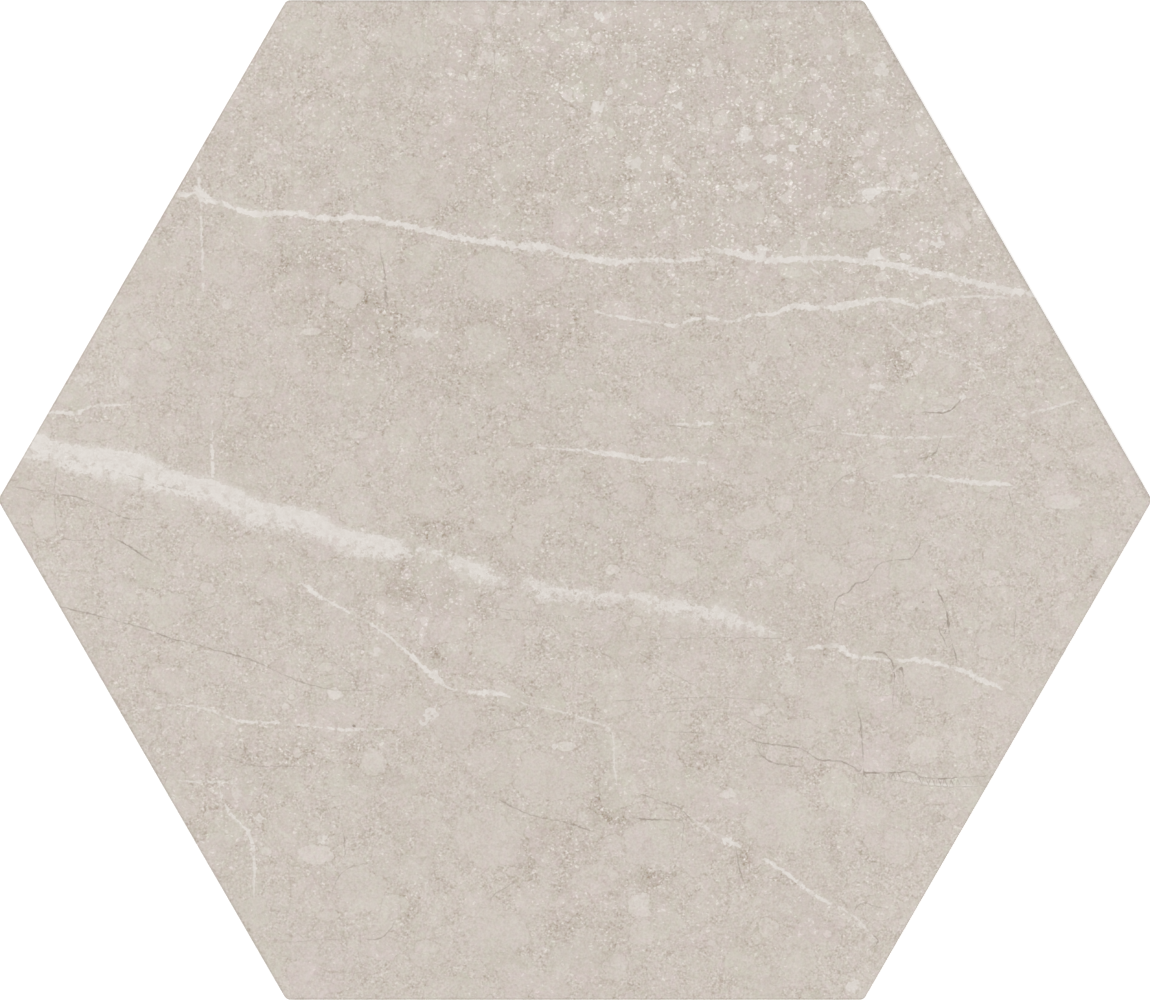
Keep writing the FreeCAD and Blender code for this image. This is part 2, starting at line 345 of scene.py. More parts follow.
CRACKS = {
    "left": (
        (-131, -26, 0), (-127.8, -26.8, 0.15), (-122.8, -28.1, 0.2), (-115.8, -30, 0.15), (-108, -32, 0.18),
        (-101, -34.7, 0.22), (-97, -35.6, 0.15), (-90.5, -37.4, 0.13), (-85.5, -38.6, 0.22), (-80, -40.3, 0.18),
        (-74, -43, 0.12), (-68, -45.5, 0.2), (-60, -47.5, 0.12), (-52, -47.6, 0.1), (-48, -47.8, 0),
    ),
    "left_branch": ((-101.5, -35, 0), (-104, -36.3, 0.1), (-108, -38.6, 0.1), (-109, -39.2, 0)),
    "left_spur": ((-99.5, -30.2, 0), (-95, -28, 0.12), (-90, -26.5, 0.12), (-88.5, -26.2, 0)),
    "slant": ((-65, -36.8, 0), (-61, -40, 0.1), (-57, -43, 0.14), (-54, -45, 0.1), (-53, -45.6, 0)),
    "vein_split": (
        (-119, 8.6, 0), (-116, 7.6, 0.1), (-113, 6.4, 0.14), (-110, 5.6, 0.16), (-106, 4.4, 0.14),
        (-102, 3.2, 0.12), (-98, 2.6, 0.1), (-95, 2.3, 0),
    ),
    "corner": (
        (-141.5, 3.4, 0), (-139, 3.0, 0.15), (-133, 1.8, 0.15), (-125, 0.9, 0.2), (-118, -2, 0.15),
        (-112, -4.5, 0.2), (-107, -4.7, 0.1), (-105.5, -4.8, 0),
    ),
    "corner_short": ((-116, -9.6, 0), (-114.5, -10, 0.15), (-111, -12, 0.3), (-107, -14.5, 0.2), (-106, -15, 0)),
    "corner_climb": (
        (-129.4, 9, 0), (-129.7, 6, 0.16), (-130, 2, 0.1), (-129.8, -5, 0.12), (-128, -9.6, 0.1), (-119, -10, 0.1),
        (-117, -10, 0),
    ),
    "right": (
        (38, -56.5, 0), (41, -58, 0.12), (44, -60, 0.15), (48, -61, 0.2), (55, -61.8, 0.2), (58, -63, 0.2),
        (61, -65, 0.2), (66, -65.3, 0.25), (69, -66.3, 0.2), (72, -68, 0.25), (78.5, -68.3, 0.3), (84, -68, 0.15),
        (87, -69.3, 0.2), (93, -69.6, 0.25), (98, -69.2, 0.12), (103, -69, 0.15), (107, -68.8, 0),
    ),
    "right_strand": ((44.5, -61.5, 0), (46, -63, 0.15), (48, -65, 0.2), (51, -66, 0.25), (55, -66.5, 0.2), (57, -66.8, 0)),
    "right_low": ((77, -69.8, 0), (80, -70.2, 0.1), (88, -71.4, 0.14), (95, -71.7, 0.14), (102, -71.6, 0.1), (104, -71.5, 0)),
    "right_upper": ((39, -53.6, 0), (42, -54.8, 0.14), (47, -57.5, 0.14), (48, -58, 0)),
    "drop": ((69.8, -50, 0), (70.5, -52.2, 0.15), (71.6, -56.6, 0.2), (72, -64.3, 0.14), (72, -73, 0.1), (72, -75, 0)),
    "knee": ((85, 21.4, 0), (88, 22, 0.2), (93, 22, 0.25), (96, 24.5, 0.2), (97, 26, 0)),
    "stair": (
        (63.4, -36, 0), (64.0, -31, 0.12), (64.8, -28, 0.15), (65.6, -24.6, 0.2), (68.5, -23, 0.2), (70, -21, 0.25),
        (73, -20, 0.2), (76, -16.2, 0.15), (80, -15.1, 0.2), (84, -14.6, 0.2), (86.3, -10.8, 0.15), (87, -10, 0),
    ),
    "dotted": (
        (90, -21.5, 0), (91.3, -24, 0.3), (92.5, -26.5, 0.15), (93.2, -29.2, 0.28), (93.6, -32.4, 0.25),
        (94.4, -36, 0.12), (95.2, -39, 0.25), (95.4, -41.5, 0),
    ),
    "dotted_side": ((90.6, -31, 0), (91.4, -33, 0.2), (93, -36.4, 0.15), (93.6, -37.6, 0)),
    "fork": (
        (74, -38.6, 0), (75.5, -38.1, 0.25), (77.4, -38.4, 0.2), (79.2, -40.2, 0.25), (80, -42.4, 0.35),
        (79.7, -46, 0.1), (79.3, -50, 0.12), (79.6, -54, 0),
    ),
    "fork_side": ((80, -42.6, 0), (81.6, -42, 0.3), (82.2, -44, 0.1), (81.6, -49, 0.15), (80.6, -53, 0)),
    "low": (
        (-27, -73.2, 0), (-20, -74.4, 0.12), (-17, -76, 0.2), (-10, -79, 0.15), (-3, -80.5, 0.15), (2, -82, 0.2), (6, -83.4, 0),
    ),
    "before_chain_end": ((14, -73, 0), (17, -73.8, 0.15), (20.8, -75.1, 0.15), (26, -77, 0.2), (29, -80, 0.15), (31, -81.6, 0)),
    "below_low": ((14.5, -79.6, 0), (17, -79.8, 0.25), (24, -80, 0.15), (27, -80.6, 0.15), (26.6, -86, 0.1), (26.6, -88, 0)),
    "upright_low": ((39.6, -85, 0), (40.6, -89, 0.15), (41.4, -93, 0.2), (42.8, -97.4, 0)),
    "top_thread": ((-22, 126, 0.1), (-20, 108, 0.12), (-22, 96, 0.15), (-21, 84, 0.1), (-22, 78, 0)),
    "bend": ((-49.2, 67, 0), (-48.7, 62, 0.15), (-47.6, 57, 0.2), (-47, 50, 0.25), (-46.4, 46, 0)),
    "bend_side": ((-47.9, 60, 0), (-48.2, 55, 0.1), (-47.4, 49.6, 0.15), (-47.2, 48, 0)),
    "under_dashes": ((20, 18.4, 0), (24, 18.5, 0.15), (30, 17.9, 0.15), (33, 17.6, 0)),
    "right_short": ((50, 15, 0), (53, 16.2, 0.14), (57, 18, 0.15), (60, 18.6, 0.15), (62, 18.8, 0)),
    "long_hair": ((4, -50.1, 0), (12, -50.2, 0.12), (25, -49.6, 0.1), (36, -49.4, 0.12), (50, -50, 0.1), (53, -50, 0)),
    "hair_below": ((13, -53.2, 0), (20, -53.1, 0.1), (32, -52.5, 0.12), (43, -52, 0.1), (46, -52, 0)),
    "hair_above": ((1, -36.2, 0), (12, -35.2, 0.1), (24, -34.6, 0.12), (38, -34.4, 0.12), (50, -34.7, 0.14), (52, -35, 0)),
    "hair_slope": ((13, -36.6, 0), (17, -38.8, 0.12), (22, -42, 0.12), (29, -46, 0.1), (31, -47, 0)),
    "hair_upper": ((-26, -26, 0), (-19, -27.1, 0.12), (-8, -28.3, 0.1), (0, -29.5, 0.12), (7, -29.9, 0)),
    "hair_upper_low": ((-37, -29.2, 0), (-26, -29.6, 0.1), (-14, -29.9, 0.12), (-3, -30.4, 0.1), (0, -30.6, 0)),
    "hair_mid": ((-7, -41, 0), (-2, -36.6, 0.12), (4, -37.3, 0.1), (10, -40, 0.14), (14, -44.4, 0)),
    "hair_low": ((18, -57.3, 0), (25, -57.8, 0.12), (34, -58.5, 0.12), (43, -60, 0)),
    "hair_left": ((-24, -58.8, 0), (-20, -58, 0.14), (-14, -57, 0.12), (-7, -56.4, 0)),
    "hair_far_left": ((-98, -62.3, 0), (-88, -64, 0.12), (-80, -66.4, 0.15), (-72, -66.6, 0.15), (-62, -67.2, 0)),
    "hair_bottom": ((-82, -110.4, 0), (-72, -110.6, 0.1), (-62, -110, 0.12), (-55, -109.8, 0)),
    "stain": ((-55, -109.8, 0), (-52, -109.6, 0.12), (-49, -109.6, 0.18), (-46, -107, 0.14), (-44.5, -103.6, 0)),
    "arch": ((-21.6, -102.6, 0), (-20.6, -99, 0.15), (-17.6, -97, 0.15), (-15, -95.4, 0.1), (-13.6, -94.6, 0)),
    "clast_side": ((-61, -99.6, 0), (-60, -96, 0.15), (-57.4, -92.4, 0.15), (-53, -91, 0.12), (-50, -91, 0)),
    "upright_left": ((-58.6, -79.6, 0), (-57.8, -84, 0.2), (-57.4, -88, 0.15), (-57.6, -90, 0)),
    "branch_low": ((69.8, -104.6, 0), (70.2, -101.8, 0.15), (72.6, -100.8, 0.15), (75, -101.5, 0.2), (79.6, -102.2, 0)),
    "chain_tail": ((72.6, -113.4, 0), (75, -111.4, 0.15), (75.6, -110.2, 0.2), (73.8, -108, 0.1), (73.4, -107, 0)),
    "upright_right": ((110.4, -24.6, 0), (110.2, -28, 0.14), (109.8, -33, 0.12), (109.8, -37, 0)),
    "upright_near_right": ((101.4, -20.4, 0), (101, -24, 0.14), (100.9, -31, 0)),
    "right_hair": ((99.6, 9.8, 0), (102, 9.7, 0.15), (106.5, 9.3, 0)),
    "right_step": ((83, 9.8, 0), (87, 10.4, 0.14), (90, 11.6, 0.2), (91.4, 15, 0.15), (91.8, 17, 0)),
    "right_rise": ((62.6, -0.6, 0), (64, 2.6, 0.15), (67, 5.6, 0.15), (72, 8, 0.1), (80, 11.4, 0)),
    "right_fall": ((108, 3.4, 0), (109, 0.4, 0.2), (109.8, -4, 0.12), (110, -9, 0)),
}

# Spots, pale where the last number is above nought and dark where it is below: the middle, the
# half length and half breadth, the turn in degrees, and the strength.
SPOTS = (
    (-20.5, 110.7, 1.8, 1.7, 0, 0.45), (5.8, 98.2, 2.0, 1.3, 0, 0.8), (8.5, 102, 0.8, 0.9, 0, 0.7),
    (14.5, 84.2, 2.1, 1.5, 0, 0.6), (42.4, 91.4, 1.6, 2.6, -12, 0.8), (42.2, 96.6, 0.7, 1.6, 10, 0.4),
    (48.8, 85.4, 1.3, 1.3, 0, 0.9), (55, 88.3, 1.6, 0.8, -5, 1.0), (41.5, 78.4, 1.7, 1.2, 20, 0.6),
    (76.6, 107.5, 1.7, 1.6, 0, 0.65), (75.2, 101.2, 2.4, 1.4, 20, 0.45), (75, 98.6, 1.8, 1.4, 0, 0.15),
    (73.8, 76.8, 2.1, 1.3, 20, 1.0), (84.8, 80.8, 1.2, 1.1, 0, 0.65),
    (46.7, 62.3, 1.5, 1.4, 30, 0.9), (74.8, 61.2, 2.2, 1.7, 0, 0.95), (82.5, 61, 1.1, 1.0, 0, 0.95),
    (90.5, 64.2, 1.8, 1.2, 0, 0.85), (5.9, 120.8, 1.2, 1.1, 0, 1.0), (26.2, 98.5, 1.0, 1.0, 0, 0.9),
    (24.7, 73.8, 0.8, 1.1, 0, 0.6), (12.6, 78, 1.4, 1.0, 10, 0.4), (26.5, 80, 1.7, 0.7, 0, 0.7),
    (63.4, 110.6, 0.7, 1.0, 0, 0.85), (70, 87.2, 1.5, 0.8, 25, 0.25),
    (44.6, 33, 1.5, 1.7, 0, 0.5), (-38.8, 41.9, 3.0, 1.5, -15, 0.55), (-42.4, 42.8, 2.2, 0.9, 10, 0.2),
    (75.7, 28.3, 2.1, 0.9, 0, 0.75), (83, 31.6, 1.4, 0.7, 20, 0.4),
    (97, 25.8, 0.9, 1.0, 0, 0.8), (-59.8, -48.5, 1.9, 1.2, 0, 0.3), (-72.5, -51.4, 0.8, 0.8, 0, 0.25),
    (-35.5, -53, 1.4, 1.4, 0, 0.7), (-37.8, -56, 1.1, 1.0, 0, 0.7), (-50.8, -65.5, 2.6, 2.4, 0, 0.06),
    (-49.7, -38, 1.1, 1.0, 0, 0.55), (-67.5, -89.2, 2.0, 1.8, 0, 0.05), (-63, -85, 1.4, 1.3, 0, 0.5),
    (-84.4, -73.6, 1.1, 1.2, 0, 0.4), (-85.4, -70.2, 1.0, 0.9, 0, 0.4), (-78.8, -79.6, 1.4, 0.7, 0, 0.65),
    (-5, -61.8, 1.0, 0.9, 0, 0.7), (-1.8, -61.4, 1.2, 0.9, 0, 0.2), (2.3, -79.3, 1.3, 1.2, 0, 0.3),
    (38.7, -73.5, 2.2, 1.0, 15, 0.4), (45.7, -52.8, 2.1, 1.6, 0, 0.2), (16.3, -100.2, 1.8, 2.4, 0, 0.3),
    (14.8, -97.6, 1.9, 0.5, 15, 0.4), (69.5, -121.4, 1.7, 1.6, 0, 0.65), (71.4, -105.8, 1.1, 1.0, 0, 0.5),
    (54, -39.6, 1.4, 0.8, 0, 0.7), (8.5, -18, 1.5, 1.2, 0, 0.2), (122.8, -1, 4.6, 2.0, 10, 0.2),
    (-122.3, 30.2, 2.9, 1.3, 8, 0.35), (-117.3, 28, 2.1, 1.0, 10, 0.25), (-112.9, 29.6, 1.8, 1.5, 0, 0.35),
    (-118.4, 23.6, 1.6, 0.8, 0, 0.5), (-86.8, 48.9, 1.3, 1.1, 0, 0.4),
    (-67.3, 42.6, 2.0, 1.2, 15, 0.3), (-101, 3.2, 1.0, 0.4, 0, -0.4), (68.4, 8, 1.6, 1.4, 0, 0.3),
    (53.8, 38.8, 0.3, 0.3, 0, -0.9), (35.5, 89, 0.25, 0.25, 0, -0.6), (-55.2, -56.5, 0.42, 0.42, 0, -1.0),
    (87, -25.5, 0.26, 0.26, 0, -0.7), (130, -18.6, 0.8, 0.9, 0, -0.35), (18.3, 117.6, 0.2, 0.2, 0, -0.5),
    (66.5, 116.5, 0.22, 0.22, 0, -0.5), (32.3, 102, 0.2, 0.2, 0, -0.4), (19.5, -44.8, 0.25, 0.25, 0, -0.5),
    (11.2, -64, 2.2, 3.4, 0, 0.22), (38.2, -85.1, 1.6, 0.8, -28, 1.0),
    (-3.0, 121, 3.8, 0.5, 69, -0.42), (-6.2, 111, 3.6, 0.45, 86, -0.26),
)

# Clasts, the lumps of older stone: the middle, the half length and half breadth, the turn in degrees,
# and how much paler than the ground their smooth insides are.
CLASTS = (
    (-20, 56, 7.5, 6.5, 0, 0.5), (-57, 51.5, 4, 3.2, 0, 0.7), (-50, 65, 5, 3.5, 0, 0.3), (-88, 58, 5, 4, 0, 0.3),
    (-42, 116, 4, 6, 0, 0.1), (-40, 78, 9, 8, 0, 0.15), (26.5, -16.5, 4, 4.2, 0, 0.7), (9.2, -17.8, 1.8, 1.3, 0, 1.6),
    (13, -21, 6, 2.5, 0, 0.3), (25, -6, 6.5, 3.6, -12, 0.5), (14, 2, 4, 4, 0, 0.4), (23, -1.3, 3, 2.6, 0, 0.5),
    (-6.5, -1.5, 3.2, 2.4, 0, 0.4), (-12, -7.5, 4, 3.6, 0, 0.5), (45, -4, 5, 3, 10, 0.6), (60, -17, 6.5, 4, 0, 0.5),
    (84, -17, 6, 6, 0, 0.2), (66, -7, 11, 5, 0, 0.15), (52.5, -1, 2.6, 2.2, 0, 1.1), (33.5, -1.5, 1.4, 1.2, 0, 1.4),
    (47.5, -12.5, 4.5, 3.2, 0, 0.7), (53.5, -17, 1.6, 1.6, 0, 1.2), (72.5, -13, 2.4, 2, 0, 0.4), (5, -3, 3, 3, 0, 0.2),
    (35.5, -10, 3, 3, 0, 0.2), (-20, -37, 6, 3.4, -5, 0.6), (-32, -32, 5, 3.5, 0, 0.3), (-14, -28, 5, 3, 0, 0.2),
    (20, -46, 1.7, 1.6, 0, 1.0), (46.5, -52.5, 1.8, 1.6, 0, 1.0), (51.5, -51, 1.3, 2.4, 10, 0.5),
    (15, -31, 1.7, 1.2, 0, 0.9), (62, -50, 7, 8, 0, 0.3), (28, -55, 1.5, 1.2, 0, 0.8), (-2.3, -61.3, 2.4, 1.2, 0, 1.6),
    (56, -57, 5, 3, 0, 0.5), (-60, -48.6, 1.9, 1.3, -20, 1.5), (-71, -49.3, 0.8, 0.7, 0, 1.5), (-72.5, -51.7, 1, 0.9, 0, 1.3),
    (-50.8, -65.5, 3.4, 3.2, 0, 0.9), (-62.3, -42, 1.6, 1.2, 0, 0.9), (-92, -22, 2, 1.5, -20, 0.9),
    (-69.5, -63, 1, 1.5, 0, 0.8), (-30, -56, 5, 6, 0, 0.2), (-102, -27, 5, 4, 0, 0.2), (-65, -88.5, 5, 3.2, 0, 1.2),
    (-54, -97, 6.5, 5.5, 0, 0.4), (-22, -85, 8.5, 7, -15, 0.4), (-7, -69, 9, 6.5, 0, 0.3), (-20, -108, 9, 6, 0, 0.3),
    (18, -86.5, 6.5, 6, 0, 0.5), (5, -95, 5.5, 3.6, 0, 0.5), (16.5, -101, 2.6, 3, 0, 1.5), (10, -116, 3, 3.4, 0, 0.6),
    (17, -108, 3, 3.4, 0, 0.6), (-70, -112, 5, 3, 0, 0.3), (-62, -104, 3, 1.4, 0, 0.6), (-37, -112, 3, 1.8, 0, 0.6),
    (-77, -88, 1.4, 1.1, 0, 0.9), (80, -87, 3, 4.6, 0, 0.4), (50, -79, 9, 8, 0, 0.4), (38, -73.5, 2.4, 1.2, 10, 1.3),
    (48.5, -107, 2.4, 2, 0, 1.0), (63, -108.5, 1, 1, 0, 1.3), (88, -62.5, 5, 3.2, 10, 1.0), (97, -61, 3, 2.8, 0, 0.9),
    (93.5, -78, 2, 1.8, 0, 0.8), (82, -105.5, 1, 0.9, 0, 1.0), (22, -81, 2, 1.2, 0, 0.6), (34, -110.6, 1.1, 0.6, 0, 1.0),
    (70, 71, 6, 3.4, 10, 0.6), (43, 72, 4.5, 3, 0, 0.4), (95, 69, 4, 3, 0, 0.4), (92, 53, 3, 2, 0, 0.3),
    (122, -1, 4.6, 1.8, 0, 0.9), (102.5, 3.5, 2.4, 1.4, 0, 0.5), (93, -1.5, 1.2, 1, 0, 0.9), (102.5, -37.5, 1.5, 1.5, 0, 0.7),
    (103, -31.5, 1.2, 1, 0, 0.7), (132.5, 1.7, 1.2, 0.8, 0, 1.0), (104, -18.3, 2.6, 1, 0, 1.0), (123, -24, 2, 1.2, 0, 0.9),
    (78, 12, 3, 1.5, 0, 0.8), (92, 31, 5, 4, 0, 0.2), (92, 24.8, 4, 1, 0, 0.6), (-103.5, 38.5, 2.8, 1.7, 0, 1.1),
    (-66, 42, 2.4, 1, 0, 1.1), (-54, 16.5, 2.6, 1, 0, 1.0), (-83, 27, 2.4, 1, 0, 0.9), (-99, 18, 1.5, 1, 0, 0.6),
    (-120, 17, 5, 2.5, 0, 0.4), (-107, 29, 6, 3, 0, 0.2), (-132, -5, 4, 5, 0, 0.5), (-95, 12.5, 3, 2, 0, 0.2),
)

# Wide zones of the stone, soft at their edges: the middle, the half length and half breadth, the turn
# in degrees, and the strength. The shaded ones are darker and coarser. The dusty ones hold pale specks.
SHADED_ZONES = (
    (-65, 58, 11, 7, 10, 1.3), (-52, 48, 12, 6, 0, 1.1), (-58, 41, 6, 5, 0, 1.0), (-46, 40, 7, 5, 0, 0.8),
    (-14, 51, 5, 4, 20, 0.9), (-25, 54, 3, 5, 0, 0.7), (-103, 60, 2, 9, 0, 0.7), (-106, 62, 1.5, 5, -20, 0.5),
    (-50, 109, 3, 6, 0, 0.6), (-12, 44, 18, 6, 0, 0.8), (-44, -22, 4, 6, 0, 1.7), (-33, -23, 5, 5.5, 0, 1.6),
    (-35, -37, 3, 4, 0, 0.8), (-23, -26, 3, 3, 0, 0.8), (-22, -40, 5, 2, -10, 0.8), (-36, -7, 7, 3, -10, 0.9),
    (-12, -16, 3.5, 5, 0, 0.8), (-8, -38, 5, 4, 0, 0.5), (6, -58, 2, 10, 5, 0.8), (9, -76, 5, 7, 0, 1.1),
    (-3, -85, 9, 5, -10, 0.8), (-14, -90, 4, 6, 20, 0.7), (18, -95, 8, 2.2, 0, 1.0), (-2, -102, 4, 10, 0, 0.7),
    (8, -110, 3, 10, 0, 0.6), (-73, -64, 13, 4, 0, 0.6), (-56, -65, 2.5, 5, 0, 0.9), (-50, -70, 7, 2, 0, 0.9),
    (-43, -102, 3, 5, 0, 0.7), (-88, -84, 6, 8, 0, 0.5), (-53, -58, 7, 2, 0, 0.5), (80, 34.5, 4, 4, 0, 1.1),
    (73, 33, 1.5, 4, 30, 0.9), (81.5, 18, 2.5, 1.5, 0, 0.8), (92, 22, 6, 1.2, 10, 0.6), (88, 10.5, 5, 1.5, 15, 0.7),
    (70, 5, 9, 2.5, 30, 0.4), (112, 16, 8, 4, 0, 0.4), (124, 10, 8, 8, 0, 0.3), (130, -19, 2, 2, 0, 0.8),
    (64, 81, 6, 6, 0, 0.6), (5, 66, 7, 3, 0, 0.6), (53, 76, 5, 5, 0, 0.4), (46, 57, 12, 4, 0, 0.3),
    (43, -91, 2.5, 7, 10, 0.7), (63, -89, 4, 4, 0, 0.6), (75, -87, 3, 8, 0, 0.5), (52, -96, 6, 4, -30, 0.4),
    (30, -63, 6, 6, 0, 0.4), (74, -102, 5, 3, 0, 0.4), (-11, 4, 10, 5, 0, 0.5), (-17, -4, 8, 3, 0, 0.7),
    (18, 2, 2.5, 4, 0, 0.7), (24, -22, 3, 2, 0, 0.7), (62, -35, 3, 6, 0, 0.4), (14, -36, 20, 5, 0, 0.4),
    (-125, 18, 1.5, 6, 0, 0.6), (-86, 13, 5, 6, 0, 0.4), (-125, -5, 10, 6, 0, 0.3), (-62, 103, 20, 14, 0, 0.3),
    (36, -2, 6, 8, 0, 0.4), (-32, 29, 12, 6, 0, 0.4), (-95, 33, 6, 4, 0, 0.4), (60, -68, 5, 3, 0, 0.4),
    (-45, 78, 55, 16, 0, 0.3), (18, 78, 18, 14, 0, 0.3), (-18, 47, 20, 15, 0, 0.5), (-18, 15, 18, 14, 0, 0.2),
    (-2, -14, 36, 16, 0, 0.3), (-18, -46, 18, 14, 0, 0.2), (-89, -78, 18, 14, 0, 0.25),
)
DUSTY_ZONES = (
    (42, 88, 62, 38, 0, 1.0), (10, 108, 50, 24, 0, 1.0), (84, 66, 28, 24, 0, 0.9), (-14, 84, 30, 26, 0, 0.5),
    (92, 36, 26, 14, 0, 0.6), (-45, 44, 30, 14, 0, 0.4), (-10, 45, 22, 12, 0, 0.4), (-38, -24, 14, 12, 0, 0.6),
    (0, 20, 70, 16, 0, 0.2), (-85, -50, 45, 45, 0, 0.2), (40, -30, 60, 35, 0, 0.1), (20, -95, 50, 25, 0, 0.2),
    (-60, 100, 50, 30, 0, 0.3), (56, 20, 30, 14, 0, 0.3),
)


class StoneDrawing:
    """The stone's marks as drawn objects. The tile's tree reads them, and they go once it has."""

    def __init__(self, context):
        self.collection = context.scene.collection
        self.objects = {
            "Broad Vein": self.lines("broad_vein", BROAD_VEIN),
            "Veins": self.lines("veins", VEINS),
            "Cracks": self.lines("cracks", CRACKS),
            "Spots": self.spots("spots", SPOTS),
            "Clasts": self.spots("clasts", CLASTS),
            "Shaded Zones": self.spots("shaded_zones", SHADED_ZONES),
            "Dusty Zones": self.spots("dusty_zones", DUSTY_ZONES),
        }

    def lines(self, name, lines):
        """A curve object with a spline for each line, whose radius is half of the line's thickness."""
        curve = bpy.data.curves.new(name, "CURVE")
        curve.dimensions = "3D"
        for points in lines.values():
            spline = curve.splines.new("POLY")
            spline.points.add(len(points) - 1)
            for point, (x, y, half) in zip(spline.points, points):
                point.co = (x * MM, y * MM, 0, 1)
                point.radius = half * MM
        return self.placed(name, curve)

    def spots(self, name, rows):
        """A mesh object with a vertex for each spot, which keeps its reach, turn and strength."""
        mesh = bpy.data.meshes.new(name)
        mesh.from_pydata([(x * MM, y * MM, 0) for x, y, *_ in rows], [], [])
        for kept, kind in (("reach", "FLOAT_VECTOR"), ("turn", "FLOAT"), ("strength", "FLOAT")):
            mesh.attributes.new(kept, kind, "POINT")
        for number, (_, _, length, breadth, degrees, amount) in enumerate(rows):
            mesh.attributes["reach"].data[number].vector = (length, breadth, 1)
            mesh.attributes["turn"].data[number].value = math.radians(degrees)
            mesh.attributes["strength"].data[number].value = amount
        return self.placed(name, mesh)

    def placed(self, name, data):
        drawn = bpy.data.objects.new(name, data)
        self.collection.objects.link(drawn)
        return drawn

    def remove(self):
        for drawn in self.objects.values():
            bpy.data.objects.remove(drawn)


# Geometry: the pressed tile

